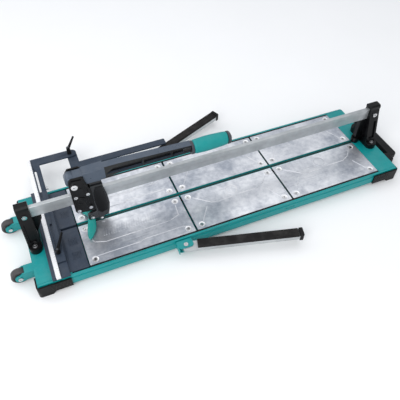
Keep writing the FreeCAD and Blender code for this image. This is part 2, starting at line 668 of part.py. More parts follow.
def arm_pockets(side, arm_top, arm_low):
    """Open pockets in one face of the arm, parted by upright ribs."""
    x0, x1 = PIVOT_X + 112, ARM_END - 4
    ribs = [PIVOT_X + 246, PIVOT_X + 351]
    y0, y1 = sorted((side * WEB_HALF, side * (ARM_HALF + 10)))
    top = arm_top - 1
    outline = [(x0, arm_low + 8), (x0 + 26, top - 10), (x0 + 60, top - 3), (x1, top - FLANGE - 4),
               (x1, arm_low + 4), (x0 + 50, arm_low + 4)]
    pocket = plate_xz(outline, y0, y1)
    for x in ribs:
        web = block(x - RIB_WIDTH / 2, x + RIB_WIDTH / 2, y0 - 1, y1 + 1, arm_low - 20, top + 20)
        pocket = pocket.cut(web)
    return pocket


def wheel_holder():
    """Fork under the bridge that carries the scoring wheel."""
    y_out = 7.0
    low = WHEEL_Z - 5
    fork = plate_xz([(WHEEL_X - 16, BREAK_BOLT_Z - 6), (WHEEL_X - 7, low), (WHEEL_X + 7, low),
                     (WHEEL_X + 16, BREAK_BOLT_Z - 6)], -y_out, y_out)
    gap = WHEEL_WIDTH / 2 + HOLDER_GAP
    slot = block(WHEEL_X - 20, WHEEL_X + 20, -gap, gap, low - 5, WHEEL_Z + WHEEL_R + 1.5)
    return fork.cut(slot)


def head_pins():
    """Axle of the scoring wheel and bolt of the breaking foot."""
    axle = bolt_y(WHEEL_X, WHEEL_Z, -10.5, 7.0, WHEEL_AXLE_R, 5.5, 3.5)
    foot_bolt = bolt_y(BREAK_BOLT_X, BREAK_BOLT_Z, -HANDLE_HALF - 4, HANDLE_HALF + 4, BREAK_BOLT_R - 1, 7, 4)
    nut = rod_y(7, BREAK_BOLT_X, BREAK_BOLT_Z, HANDLE_HALF, HANDLE_HALF + 4)
    return [axle, foot_bolt.fuse(nut)]


def scoring_wheel():
    """Carbide scoring wheel, sharpened to an edge."""
    half = WHEEL_WIDTH / 2
    body = rod_y(WHEEL_R - half, WHEEL_X, WHEEL_Z, -half, half)
    for side in (-1, 1):
        cone = Part.makeCone(WHEEL_R, WHEEL_R - half, half, vec(WHEEL_X, 0, WHEEL_Z), vec(0, side, 0))
        body = body.fuse(cone)
    return body.cut(rod_y(WHEEL_AXLE_R + RUNNING_GAP, WHEEL_X, WHEEL_Z, -half - 1, half + 1)).removeSplitter()


def breaker_foot():
    """Swept wings that press the tile on both sides of the scored line."""
    z0 = WING_LIFT
    z1 = z0 + WING_THICKNESS
    x_back = BREAK_BOLT_X - 12
    x_tip = x_back - WING_SWEEP
    wing = plate_xy([(x_back, 0), (x_tip, -WING_REACH + 8), (x_tip + 3, -WING_REACH),
                     (x_tip + WING_WIDTH - 6, -WING_REACH + 2), (x_back + WING_WIDTH, 0)], z0, z1)
    ridge = plate_xy([(x_back + 6, 0), (x_tip + 8, -WING_REACH + 12), (x_tip + 13, -WING_REACH + 12),
                      (x_back + 16, 0)], z0, z1 + 6)
    hub = block(BREAK_BOLT_X - 9, BREAK_BOLT_X + 9, -8.5, 8.5, z0, BREAK_BOLT_Z)
    crown = rod_y(9, BREAK_BOLT_X, BREAK_BOLT_Z, -8.5, 8.5)
    foot = wing.fuse([ridge, mirror_y(wing), mirror_y(ridge), hub, crown])
    score_way = block(x_tip - 5, BREAK_BOLT_X + 40, -2.0, 2.0, z0 - 1, z0 + 3)
    bore = rod_y(BREAK_BOLT_R - 1 + RUNNING_GAP, BREAK_BOLT_X, BREAK_BOLT_Z, -10, 10)
    return foot.cut(score_way).cut(bore).removeSplitter()


def handle_grip():
    """Thick soft grip over the end of the lever."""
    x0 = ARM_END + COLLAR
    x1 = x0 + GRIP_LENGTH
    grip = rod_x(GRIP_R, 0, PIVOT_Z, x0, x1)
    ends = [e for e in grip.Edges if isinstance(e.Curve, Part.Circle)]
    grip = grip.makeFillet(3.0, ends)
    return grip.cut(rod_x(GRIP_CORE_R + RUNNING_GAP, 0, PIVOT_Z, x0 - 1, x1 + 1))


def grip_collars():
    """Dark collar and end cap that hold the grip."""
    x0 = ARM_END
    x1 = ARM_END + COLLAR + GRIP_LENGTH
    collar = rod_x(GRIP_R + 1, 0, PIVOT_Z, x0, x0 + COLLAR).cut(
        rod_x(GRIP_CORE_R + RUNNING_GAP, 0, PIVOT_Z, x0 - 1, x0 + COLLAR + 1))
    cap = rod_x(GRIP_R, 0, PIVOT_Z, x1, x1 + GRIP_CAP)
    far = [e for e in cap.Edges if isinstance(e.Curve, Part.Circle) and e.Curve.Center.x > x1 + 1]
    cap = cap.makeFillet(6.0, far)
    core_end = ARM_END + GRIP_LENGTH + COLLAR + 16
    cap = cap.cut(rod_x(GRIP_CORE_R + RUNNING_GAP, 0, PIVOT_Z, x1 - 1, core_end))
    return [collar, cap]


# ---------------------------------------------------------------- fence and side stop
def fence_body():
    """Dark fence extrusion across the frame, with a seat for the ruler and a ledge for the slide."""
    x0, x1 = FENCE_LEFT, FENCE_LEFT + FENCE_WIDTH
    y0, y1 = -FRAME_HALF + 1, FRAME_HALF
    ledge = LINK_Z0 - STOP_GAP
    ruler_right = RULER_LEFT + RULER_WIDTH
    body = plate_xz([(x0, 0), (x1, 0), (x1, ledge), (ruler_right, ledge), (ruler_right, RULER_SEAT),
                     (RULER_LEFT, RULER_SEAT), (RULER_LEFT, FENCE_HEIGHT), (x0 + 1, FENCE_HEIGHT),
                     (x0, FENCE_HEIGHT - 1)], y0, y1)
    return body.cut(rod(STUD_R + RUNNING_GAP, FENCE_LEVER_X, FENCE_LEVER_Y, STUD_FLOOR, ledge + 1))


def fence_ruler():
    """Bright measuring bar let into the fence."""
    y0 = -FRAME_HALF + 1
    return block(RULER_LEFT, RULER_LEFT + RULER_WIDTH, y0, FENCE_REACH, RULER_SEAT, FENCE_HEIGHT + RULER_RISE)


def stop_slide():
    """Slotted bar that slides beside the ruler, with the cross link that carries the stop."""
    front_end = SLIDE_INNER_END - FRAME_HALF
    bar = block(SLIDE_X0, SLIDE_RIGHT, front_end, FENCE_REACH, LINK_Z0, LINK_Z1)
    link = block(SLIDE_X0, STOP_LEG_X, FENCE_REACH - LINK_WIDTH, FENCE_REACH, LINK_Z0, LINK_Z1)
    nose = rod(LINK_WIDTH / 2, STOP_LEG_X, STOP_PIVOT_Y, LINK_Z0, LINK_Z1)
    body = bar.fuse([link, nose])
    low, high = LINK_Z0 - 1, LINK_Z1 + 1
    slot = stadium(SLIDE_SLOT_X, SLIDE_SLOT_START, SLIDE_SLOT_X, SLIDE_SLOT_END,
                   SLIDE_SLOT_WIDTH / 2, low, high)
    clamp_slot = stadium(FENCE_LEVER_X, FENCE_LEVER_Y - 2, FENCE_LEVER_X, FENCE_LEVER_Y + SLIDE_TRAVEL + 2,
                         STUD_R + 0.5, low, high)
    body = body.cut(slot).cut(clamp_slot)
    return body.cut(rod(STUD_R + 0.3, STOP_PIVOT_X, STOP_PIVOT_Y, low, high)).removeSplitter()


def stop_arm():
    """Cranked flat arm that the tile is laid against; it turns on the clamp stud."""
    z1 = LINK_Z0 - STOP_GAP
    z0 = z1 - STOP_ARM_THICKNESS
    half = LINK_WIDTH / 2
    leg = block(STOP_LEG_X - half, STOP_LEG_X + half, STOP_FACE_Y, STOP_PIVOT_Y, z0, z1)
    head = rod(half, STOP_LEG_X, STOP_PIVOT_Y, z0, z1)
    reach = block(STOP_LEG_X - half, STOP_ARM_END, STOP_FACE_Y, STOP_FACE_Y + STOP_ARM_WIDTH, z0, z1)
    arm = leg.fuse([head, reach]).removeSplitter()
    arm = arm.makeFillet(4.0, edges_along(arm, vec(0, 0, 1), lambda p: p.x > STOP_ARM_END - 1))
    return arm.cut(rod(STUD_R + 0.3, STOP_PIVOT_X, STOP_PIVOT_Y, z0 - 1, z1 + 1))


def clamp_lever(x, y, z_seat, z_stud, sizes):
    """Indexing clamp lever: a tapered arm on a round boss, with its stud below."""
    length = sizes["length"]
    rise = math.radians(sizes["rise"])
    z_arm = z_seat + sizes["boss"] - LEVER_ROOT_R - 1
    boss = Part.makeCone(LEVER_BOSS_R, LEVER_BOSS_R - 1.5, sizes["boss"], vec(x, y, z_seat), vec(0, 0, 1))
    direction = vec(math.cos(rise), 0, math.sin(rise))
    arm = Part.makeCone(LEVER_ROOT_R, LEVER_TIP_R - 0.2, length, vec(x, y, z_arm), direction)
    tip = Part.makeSphere(LEVER_TIP_R, vec(x + length * math.cos(rise), y, z_arm + length * math.sin(rise)))
    lever = boss.fuse([arm, tip])
    lever.rotate(vec(x, y, 0), vec(0, 0, 1), sizes["angle"])
    return lever.fuse(rod(STUD_R, x, y, z_stud, z_seat + 1))


def thumb_screw():
    """Small thumb screw on the side of the slide."""
    z = (LINK_Z0 + LINK_Z1) / 2
    x_end = SLIDE_RIGHT + THUMB_LENGTH
    head = rod_x(THUMB_R, THUMB_Y, z, SLIDE_RIGHT + STOP_GAP, x_end)
    return head.cut(rod_x(SOCKET_R, THUMB_Y, z, x_end - 4, x_end + 1))


# ---------------------------------------------------------------- side supports
def arm_bracket(side):
    """Folded bracket on a side rail: back plate, two ears round the pin, and a fin."""
    x0, x1 = ARM_PIVOT_X - BRACKET_LENGTH / 2, ARM_PIVOT_X + BRACKET_LENGTH / 2
    top = -ARM_DROP - ARM_PAD_HEIGHT
    low = top - ARM_CHANNEL_HEIGHT
    face = FRAME_HALF
    ear_out = ARM_PIVOT_Y + 12
    back = block(x0, x1, face, face + BRACKET_SHEET, low - BRACKET_SHEET - 0.5, top + BRACKET_SHEET + 0.5)
    ears = []
    for z in (top + 0.5, low - 0.5 - BRACKET_SHEET):
        ear = block(x0, x1, face, ear_out, z, z + BRACKET_SHEET)
        ears.append(round_upright(ear, 10.0, lambda p: p.y > ear_out - 1))
    reach = BRACKET_SHEET + 0.5
    fin = block(x0 - BRACKET_SHEET, x0, face, ear_out + 4, low - reach, top + reach)
    body = back.fuse(ears + [fin])
    body = body.cut(rod(ARM_PIN_R, ARM_PIVOT_X, ARM_PIVOT_Y, low - 20, top + 20))
    return body.removeSplitter() if side > 0 else mirror_y(body).removeSplitter()


def arm_bolts(side):
    """Pivot pin of one side support and the two bolts of its bracket."""
    top = -ARM_DROP - ARM_PAD_HEIGHT
    low = top - ARM_CHANNEL_HEIGHT
    pin = rod(ARM_PIN_R, ARM_PIVOT_X, ARM_PIVOT_Y, low - 0.5 - BRACKET_SHEET, top + 0.5 + BRACKET_SHEET)
    above, below = top + BRACKET_SHEET + 0.5, low - BRACKET_SHEET - 0.5
    heads = [rod(ARM_PIN_R + 3, ARM_PIVOT_X, ARM_PIVOT_Y, above, above + 3),
             rod(ARM_PIN_R + 3, ARM_PIVOT_X, ARM_PIVOT_Y, below - 4, below)]
    pieces = [pin.fuse(heads)]
    for x in (ARM_PIVOT_X - 20, ARM_PIVOT_X + 22):
        head = rod_y(4.5, x, (top + low) / 2, FRAME_HALF + BRACKET_SHEET, FRAME_HALF + BRACKET_SHEET + 3)
        pieces.append(head)
    return pieces if side > 0 else [mirror_y(p) for p in pieces]


def placed_arm(shape, side):
    """Turns a support piece, drawn along +x from its pivot at the origin, into its place."""
    angle = REAR_ARM_ANGLE if side > 0 else FRONT_ARM_ANGLE
    shape = shape.copy()
    shape.rotate(vec(0, 0, 0), vec(0, 0, 1), angle)
    shape.translate(vec(ARM_PIVOT_X, side * ARM_PIVOT_Y, 0))
    return shape


def arm_channel():
    """Aluminium channel of a side support, with a round eye at the pin."""
    top = -ARM_DROP - ARM_PAD_HEIGHT
    low = top - ARM_CHANNEL_HEIGHT
    half = ARM_WIDTH / 2 - 1
    wall = ARM_CHANNEL_WALL
    bar = block(0, ARM_LENGTH, -half, half, low, top)
    bar = bar.cut(block(24, ARM_LENGTH + 1, -half + wall, half - wall, low - 1, top - wall))
    bar = bar.fuse(rod(half, 0, 0, low, top))
    return bar.cut(rod(ARM_PIN_R + RUNNING_GAP, 0, 0, low - 1, top + 1)).removeSplitter()


def arm_pad():
    """Rubber strip along the top of a side support."""
    top = -ARM_DROP
    half = ARM_WIDTH / 2
    pad = block(ARM_PAD_START, ARM_LENGTH - 4, -half, half, top - ARM_PAD_HEIGHT, top)
    pad = pad.makeFillet(2.0, edges_along(pad, vec(1, 0, 0), lambda p: p.z > top - 1))
    return pad


def arm_cap():
    """End cap of a side support, with a hooked lip under the channel."""
    top = -ARM_DROP
    half = ARM_WIDTH / 2 + 0.5
    low = top - ARM_PAD_HEIGHT - ARM_CHANNEL_HEIGHT - 4
    cap = block(ARM_LENGTH, ARM_LENGTH + 14, -half, half, low, top)
    cap = cap.makeFillet(3.0, edges_along(cap, vec(0, 0, 1), lambda p: p.x > ARM_LENGTH + 1))
    lip = block(ARM_LENGTH - 26, ARM_LENGTH + 1, -half + 6, half - 6, low, low + 3.5)
    return cap.fuse(lip).removeSplitter()


# ---------------------------------------------------------------- carrying
def wheel_bracket():
    """Front wheel bracket: an inverted channel with two round-ended cheeks."""
    half = TRANSPORT_WIDTH / 2 + 1.5
    y0, y1 = -TRANSPORT_Y - half - CHEEK_SHEET, -TRANSPORT_Y + half + CHEEK_SHEET
    x1 = FRAME_X0
    top = -SHEET
    cheeks = []
    for y in (y0, y1 - CHEEK_SHEET):
        arm = plate_xz([(x1, top), (x1, TRANSPORT_Z - CHEEK_R + 6), (TRANSPORT_X, TRANSPORT_Z - CHEEK_R),
                        (TRANSPORT_X, TRANSPORT_Z + CHEEK_R), (TRANSPORT_X + 14, top)], y, y + CHEEK_SHEET)
        cheeks.append(arm.fuse(rod_y(CHEEK_R, TRANSPORT_X, TRANSPORT_Z, y, y + CHEEK_SHEET)))
    roof = block(TRANSPORT_X + 14, x1, y0, y1, top - CHEEK_SHEET, top)
    back = block(x1 - CHEEK_SHEET, x1, y0, y1, TRANSPORT_Z - CHEEK_R + 6, top)
    body = cheeks[0].fuse([cheeks[1], roof, back])
    room = rod_y(TRANSPORT_R + 2, TRANSPORT_X, TRANSPORT_Z, -TRANSPORT_Y - half, -TRANSPORT_Y + half)
    body = body.cut(room)
    bore = rod_y(TRANSPORT_AXLE_R, TRANSPORT_X, TRANSPORT_Z, y0 - 1, y1 + 1)
    return body.cut(bore).removeSplitter()


def transport_wheel():
    """Solid front transport wheel with a recessed hub on both faces."""
    y0, y1 = -TRANSPORT_Y - TRANSPORT_WIDTH / 2, -TRANSPORT_Y + TRANSPORT_WIDTH / 2
    wheel = rod_y(TRANSPORT_R, TRANSPORT_X, TRANSPORT_Z, y0, y1)
    rims = [e for e in wheel.Edges if isinstance(e.Curve, Part.Circle)]
    wheel = wheel.makeFillet(4.0, rims)
    for y in (y0, y1):
        ring = rod_y(TRANSPORT_R - 7, TRANSPORT_X, TRANSPORT_Z, y - 3, y + 3)
        wheel = wheel.cut(ring.cut(rod_y(TRANSPORT_HUB_R, TRANSPORT_X, TRANSPORT_Z, y - 4, y + 4)))
    bore = rod_y(TRANSPORT_AXLE_R + RUNNING_GAP, TRANSPORT_X, TRANSPORT_Z, y0 - 1, y1 + 1)
    return wheel.cut(bore).removeSplitter()


def wheel_axle():
    """Axle bolt of the front transport wheel."""
    half = TRANSPORT_WIDTH / 2 + 1.5 + CHEEK_SHEET
    y0, y1 = -TRANSPORT_Y - half, -TRANSPORT_Y + half
    bolt = bolt_y(TRANSPORT_X, TRANSPORT_Z, y0 - 4, y1, TRANSPORT_AXLE_R, 8, 4)
    return bolt.fuse([rod_y(7, TRANSPORT_X, TRANSPORT_Z, y1, y1 + 5)])


def carry_handle():
    """Moulded carrying handle on the right end of the frame: a bar on two stepped legs."""
    x0 = FRAME_X1
    x1 = x0 + CARRY_REACH
    x_bar = x1 - CARRY_BAR
    z0, z1 = CARRY_Z - CARRY_THICKNESS / 2, CARRY_Z + CARRY_THICKNESS / 2
    bar = block(x_bar, x1, -CARRY_BAR_HALF, CARRY_BAR_HALF, z0, z1)
    bar = round_upright(bar, 16.0, lambda p: p.x > x1 - 1)
    legs = []
    for side in (-1, 1):
        y0, y1 = sorted((side * CARRY_HALF, side * (CARRY_HALF - CARRY_LEG)))
        legs.append(round_upright(block(x0, x_bar + 6, y0, y1, z0, z1), 5.0,
                                  lambda p: p.x > x0 + 1 and abs(p.y) > CARRY_HALF - 1))
    body = bar.fuse(legs).removeSplitter()
    rims = [e for e in body.Edges if abs(e.CenterOfMass.z - z1) < 0.01 or abs(e.CenterOfMass.z - z0) < 0.01]
    rims = [e for e in rims if e.BoundBox.XMin > x0 + 0.5]
    return body.makeFillet(4.0, rims)


def frame_bolts():
    """Bolts of the posts and of the carrying handle."""
    pieces = []
    for x in (POST_LEFT_X0 + POST_LENGTH / 2, POST_RIGHT_X1 - POST_LENGTH / 2):
        pieces += post_bolts(x)
    return pieces


# ---------------------------------------------------------------- the whole set
def build():
    """All the sub-parts as a dictionary of node name to shape."""
    both = {"front": -1, "rear": 1}
    rail = side_rail()
    nodes = {
        "side_rail_front": rail,
        "side_rail_rear": mirror_y(rail),
        "end_plate_left": end_plate(FRAME_X0, -PAD_LENGTH - PAD_GAP - 1),
        "end_plate_right": end_plate(FRAME_X1, TABLE_LENGTH + 1.5),
        "cross_members": Part.makeCompound([cross_member(x) for x in cross_middles()]),
        "centre_beam": centre_beam(),
        "breaker_bar": breaker_bar(),
        "rail_post_left": post(POST_LEFT_X0, 1, True),
        "rail_post_right": post(POST_RIGHT_X1, -1, False),
        "guide_rail": guide_rail(),
        "frame_bolts": Part.makeCompound(frame_bolts()),
        "carry_handle": carry_handle(),
        "fence_body": fence_body(),
        "fence_ruler": fence_ruler(),
        "stop_slide": stop_slide(),
        "stop_arm": stop_arm(),
        "stop_thumb_screw": thumb_screw(),
        "stop_clamp_lever": clamp_lever(STOP_PIVOT_X, STOP_PIVOT_Y, LINK_Z1 + STOP_GAP,
                                        LINK_Z0 - STOP_GAP - STOP_ARM_THICKNESS, STOP_LEVER),
        "fence_clamp_lever": clamp_lever(FENCE_LEVER_X, FENCE_LEVER_Y, LINK_Z1 + STOP_GAP, STUD_FLOOR,
                                         FENCE_LEVER),
        "carriage_bolts": Part.makeCompound(carriage_bolts()),
        "handle_lever": handle_lever(),
        "handle_grip": handle_grip(),
        "grip_collars": Part.makeCompound(grip_collars()),
        "scoring_wheel": scoring_wheel(),
        "head_pins": Part.makeCompound(head_pins()),
        "breaker_foot": breaker_foot(),
    }
    plate = carriage_plate()
    nodes["carriage_plate_front"] = plate
    nodes["carriage_plate_rear"] = mirror_y(plate)
    for k, (x, z) in enumerate(roller_places()):
        nodes["guide_roller_%d" % (k + 1)] = guide_roller(x, z)
    for end, x, way, pad in (("left", FRAME_X0, 1, BOOT_PAD_LEFT), ("right", FRAME_X1, -1, BOOT_PAD_RIGHT)):
        boot = corner_boot(x, way, pad)
        nodes["corner_boot_front_" + end] = boot
        nodes["corner_boot_rear_" + end] = mirror_y(boot)
    screws, springs, bolts, axles = [], [], [], []
    for row, side in both.items():
        turn = mirror_y if side > 0 else (lambda shape: shape)
        nodes["end_pad_" + row] = turn(end_pad())
        nodes["wheel_bracket_" + row] = turn(wheel_bracket())
        nodes["transport_wheel_" + row] = turn(transport_wheel())
        axles.append(turn(wheel_axle()))
        nodes["arm_bracket_" + row] = arm_bracket(side)
        bolts += arm_bolts(side)
        nodes["arm_channel_" + row] = placed_arm(arm_channel(), side)
        nodes["arm_pad_" + row] = placed_arm(arm_pad(), side)
        nodes["arm_cap_" + row] = placed_arm(arm_cap(), side)
        for column in range(PLATE_COLUMNS):
            nodes["table_plate_%s_%d" % (row, column + 1)] = turn(table_plate(column))
            for x, y in plate_screws(column):
                screws.append(table_screw(x, -side * y))
                springs.append(table_spring(x, -side * y))
    nodes["table_screws"] = Part.makeCompound(screws)
    nodes["table_springs"] = Part.makeCompound(springs)
    nodes["arm_bolts"] = Part.makeCompound(bolts)
    nodes["wheel_axles"] = Part.makeCompound(axles)
    return nodes


def origin_shift(nodes):
    """Move that puts the origin on the floor, under the middle of the overall box."""
    box = FreeCAD.BoundBox()
    for shape in nodes.values():
        box.add(shape.optimalBoundingBox(False))
    return vec(-(box.XMin + box.XMax) / 2, -(box.YMin + box.YMax) / 2, -box.ZMin)


NODES = build()
SHIFT = origin_shift(NODES)
os.makedirs("parts", exist_ok=True)
for name, shape in NODES.items():
    placed = shape.copy()
    placed.translate(SHIFT)
    placed.exportStep("parts/%s.step" % name)
    print("%-24s solids %2d  valid %s" % (name, len(placed.Solids), placed.isValid()))
print("shift", SHIFT)
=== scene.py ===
import json
import math

import bpy
from mathutils import Matrix, Vector


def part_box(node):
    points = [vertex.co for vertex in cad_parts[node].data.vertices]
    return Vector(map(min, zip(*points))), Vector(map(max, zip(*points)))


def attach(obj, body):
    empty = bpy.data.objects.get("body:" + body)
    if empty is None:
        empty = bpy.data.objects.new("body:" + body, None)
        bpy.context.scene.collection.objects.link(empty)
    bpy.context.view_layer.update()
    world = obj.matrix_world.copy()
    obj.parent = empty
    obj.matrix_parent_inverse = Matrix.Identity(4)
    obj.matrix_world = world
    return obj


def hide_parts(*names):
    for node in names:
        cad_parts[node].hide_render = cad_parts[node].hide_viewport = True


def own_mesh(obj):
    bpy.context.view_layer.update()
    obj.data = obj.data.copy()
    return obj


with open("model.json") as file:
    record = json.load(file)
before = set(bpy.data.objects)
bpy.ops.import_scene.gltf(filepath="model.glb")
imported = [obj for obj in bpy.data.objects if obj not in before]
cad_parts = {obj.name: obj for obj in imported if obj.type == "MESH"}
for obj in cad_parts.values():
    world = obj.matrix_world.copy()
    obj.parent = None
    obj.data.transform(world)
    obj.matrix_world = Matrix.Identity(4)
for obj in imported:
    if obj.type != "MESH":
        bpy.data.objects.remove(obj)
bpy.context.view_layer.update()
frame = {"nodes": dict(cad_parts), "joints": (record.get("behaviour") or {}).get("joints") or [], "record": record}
NODES = frame["nodes"]
MM = 0.001

# ---------------------------------------------------------------- places taken from the frame
PLATES = [f"{row}_{column}" for row in ("front", "rear") for column in (1, 2, 3)]
SIDES = (("front", -1), ("rear", 1))
PLATE_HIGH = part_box("table_plate_front_1")[1]
TABLE_TOP = PLATE_HIGH.z
CUT_LINE_Y = (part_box("guide_rail")[0].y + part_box("guide_rail")[1].y) / 2
GRIP_LOW, GRIP_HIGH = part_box("handle_grip")
GRIP_AXIS_Z = (GRIP_LOW.z + GRIP_HIGH.z) / 2
GRIP_R = (GRIP_HIGH.z - GRIP_LOW.z) / 2

# sizes of what is added here, in metres
RIDGE_WIDTH = 4.6 * MM
RIDGE_RISE = 0.8 * MM
RING_R = 24 * MM
GRIP_DEEPER = 1.16
CHEEK_HALF = 20 * MM
RIM_WIDTH = 3.0 * MM
QUADRANT_END_X = GRIP_LOW.x - 325 * MM
QUADRANT_TOP_Z = GRIP_AXIS_Z - 18 * MM
POCKET_FLOOR = 15 * MM
EMBED = 0.4 * MM
# runs of bead on a plate, as shares of the way between its screws (along, across)
FIRST_PLATE_RUNS = [
    [(0.025, 0.86), (0.034, 0.59), (0.05, 0.51), (0.16, 0.42), (0.86, 0.43), (0.97, 0.53), (0.985, 0.86)],
    [(0.035, 0.075), (0.49, 0.077), (0.525, 0.125), (0.96, 0.125), (0.99, 0.09)]]
OTHER_PLATE_RUNS = [
    [(0.05, 0.93), (0.218, 0.605), (0.29, 0.56), (0.47, 0.58)],
    [(0.56, 0.60), (0.783, 0.60), (0.873, 0.707), (0.95, 0.91)],
    [(0.035, 0.10), (0.146, 0.50)],
    [(0.965, 0.10), (0.89, 0.47)]]
SCREW_INSET_X = 23.0 * MM
SCREW_INSET_Y = 19.9 * MM
CUP_R = 10.4 * MM
CUP_BORE = 7.25 * MM
CUP_DEPTH = 1.1 * MM
# wider than a real socket: its black is partly painted shade for the dimple round each screw head
SOCKET_R = 4.0 * MM
SPRING_FOLDS = 4
SPRING_VALLEY_R = 5.2 * MM
SPRING_CREST_R = 7.1 * MM
CREST_START = 0.42
FOOT_SWEEP = 1.35
SOFTEN_ANGLE = math.radians(32)
WELD_GAP = 0.01 * MM

# ---------------------------------------------------------------- modelling by hand


def only(obj):
    """Selects one object and makes it the active one."""
    bpy.ops.object.select_all(action="DESELECT")
    obj.select_set(True)
    bpy.context.view_layer.objects.active = obj


def begin(name):
    """Names the primitive that was just added and makes its place part of its mesh."""
    obj = bpy.context.active_object
    obj.name = name
    obj.data.name = name
    bpy.ops.object.transform_apply(location=True, rotation=True, scale=True)
    return obj


def clear_selection():
    """Deselects everything, so that the next primitive stands alone."""
    bpy.ops.object.select_all(action="DESELECT")


def box_piece(name, low, high):
    """A block between two corners, ready to be shaped."""
    clear_selection()
    low, high = Vector(low), Vector(high)
    bpy.ops.mesh.primitive_cube_add(size=1, location=(low + high) / 2)
    bpy.context.active_object.scale = high - low
    return begin(name)


def modifier(obj, kind, **values):
    """Adds a modifier and applies it."""
    only(obj)
    added = obj.modifiers.new(kind.title(), kind)
    for key, value in values.items():
        setattr(added, key, value)
    bpy.ops.object.modifier_apply(modifier=added.name)


def pick_faces(obj, test):
    """Selects the faces whose centre and normal pass a test, in edit mode."""
    only(obj)
    bpy.ops.object.mode_set(mode="EDIT")
    bpy.ops.mesh.select_mode(type="FACE")
    bpy.ops.mesh.select_all(action="DESELECT")
    bpy.ops.object.mode_set(mode="OBJECT")
    for face in obj.data.polygons:
        face.select = test(face.center, face.normal)
    bpy.ops.object.mode_set(mode="EDIT")


def leave_edit():
    """Goes back to object mode."""
    bpy.ops.object.mode_set(mode="OBJECT")


def smooth(obj, degrees=35):
    """Shades smooth, with a crease wherever faces meet at more than an angle."""
    only(obj)
    bpy.ops.object.shade_smooth_by_angle(angle=math.radians(degrees))


def rounded(obj, width, segments=2):
    """Rounds the sharp edges of a finished piece."""
    modifier(obj, "BEVEL", width=width, segments=segments, limit_method="ANGLE",
             angle_limit=math.radians(30))
    smooth(obj)
    return obj


def copy_of(obj, name, shift=(0, 0, 0), turn=0.0, about=(0, 0, 0)):
    """A copy with its own mesh, turned about an upright line and moved."""
    twin = obj.copy()
    twin.data = obj.data.copy()
    twin.name = name
    bpy.context.scene.collection.objects.link(twin)
    centre = Vector(about)
    turned = Matrix.Translation(centre) @ Matrix.Rotation(turn, 4, "Z") @ Matrix.Translation(-centre)
    twin.data.transform(Matrix.Translation(Vector(shift)) @ turned)
    return twin


def repeated(first, places):
    """A piece that stands at the first place (x, y), and its copies at the others."""
    x, y = places[0]
    copies = [copy_of(first, f"{first.name}_{number}", shift=(x2 - x, y2 - y, 0))
              for number, (x2, y2) in enumerate(places[1:])]
    return [first] + copies


def joined(name, pieces):
    """One piece made of several."""
    clear_selection()
    for piece in pieces:
        piece.select_set(True)
    bpy.context.view_layer.objects.active = pieces[0]
    bpy.ops.object.join()
    pieces[0].name = name
    return pieces[0]


def finish_piece(obj, material, body):
    """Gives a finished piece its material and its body."""
    obj.data.materials.clear()
    obj.data.materials.append(material)
    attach(obj, body)
    return obj


def turned(name, start, axis, stations, vertices=48):
    """A turned piece: a circle that is extruded along an axis through (distance, radius) stations."""
    clear_selection()
    direction = Vector(axis).normalized()
    turn = direction.to_track_quat("Z", "Y").to_euler()
    origin = Vector(start)
    place = origin + direction * stations[0][0]
    bpy.ops.mesh.primitive_circle_add(vertices=vertices, radius=stations[0][1], location=place,
                                      rotation=turn, fill_type="NGON")
    obj = begin(name)
    bpy.ops.object.mode_set(mode="EDIT")
    bpy.ops.mesh.select_all(action="SELECT")
    for (before, radius_before), (after, radius_after) in zip(stations, stations[1:]):
        step = direction * (after - before)
        bpy.ops.mesh.extrude_region_move(TRANSFORM_OT_translate={"value": step})
        ratio = radius_after / radius_before
        bpy.ops.transform.resize(value=(ratio, ratio, ratio), center_override=origin + direction * after)
    bpy.ops.mesh.select_all(action="SELECT")
    bpy.ops.mesh.normals_make_consistent(inside=False)
    leave_edit()
    return obj


def side_face(node, way):
    """Outer side (y) of a CAD node: its front when way is -1, its rear when way is 1."""
    low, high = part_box(node)
    return low.y if way < 0 else high.y


def joint_of(body):
    """The joint that a body moves on."""
    return next(joint for joint in frame["joints"] if joint["child"] == body)


# ---------------------------------------------------------------- shared effects


def group(name, inputs, outputs):
    """An empty node group with named sockets, and its two end nodes."""
    tree = bpy.data.node_groups.new(name, "ShaderNodeTree")
    for label, kind, value in inputs:
        socket = tree.interface.new_socket(label, in_out="INPUT", socket_type=kind)
        if value is not None:
            socket.default_value = value
    for label, kind in outputs:
        tree.interface.new_socket(label, in_out="OUTPUT", socket_type=kind)
    return tree, tree.nodes.new("NodeGroupInput"), tree.nodes.new("NodeGroupOutput")


def math_node(tree, operation, first, second=None, clamp=False):
    """A maths node whose inputs are numbers or sockets."""
    node = tree.nodes.new("ShaderNodeMath")
    node.operation = operation
    node.use_clamp = clamp
    for socket, value in zip(node.inputs, (first, second)):
        if value is None:
            continue
        if isinstance(value, (int, float)):
            socket.default_value = value
        else:
            tree.links.new(value, socket)
    return node.outputs[0]


def noise_node(tree, place, scale, detail=3.0, roughness=0.55):
    """Noise whose scale is a number or a socket."""
    node = tree.nodes.new("ShaderNodeTexNoise")
    node.inputs["Detail"].default_value = detail
    node.inputs["Roughness"].default_value = roughness
    tree.links.new(place, node.inputs["Vector"])
    if isinstance(scale, (int, float)):
        node.inputs["Scale"].default_value = scale
    else:
        tree.links.new(scale, node.inputs["Scale"])
    return node.outputs["Fac"]


def range_node(tree, value, low, high):
    """Stretches the values between low and high over 0 to 1."""
    node = tree.nodes.new("ShaderNodeMapRange")
    tree.links.new(value, node.inputs["Value"])
    for key, number in (("From Min", low), ("From Max", high)):
        node.inputs[key].default_value = number
    return node.outputs["Result"]


def split_node(tree, vector):
    """The X, Y and Z of a vector."""
    node = tree.nodes.new("ShaderNodeSeparateXYZ")
    tree.links.new(vector, node.inputs[0])
    return node.outputs


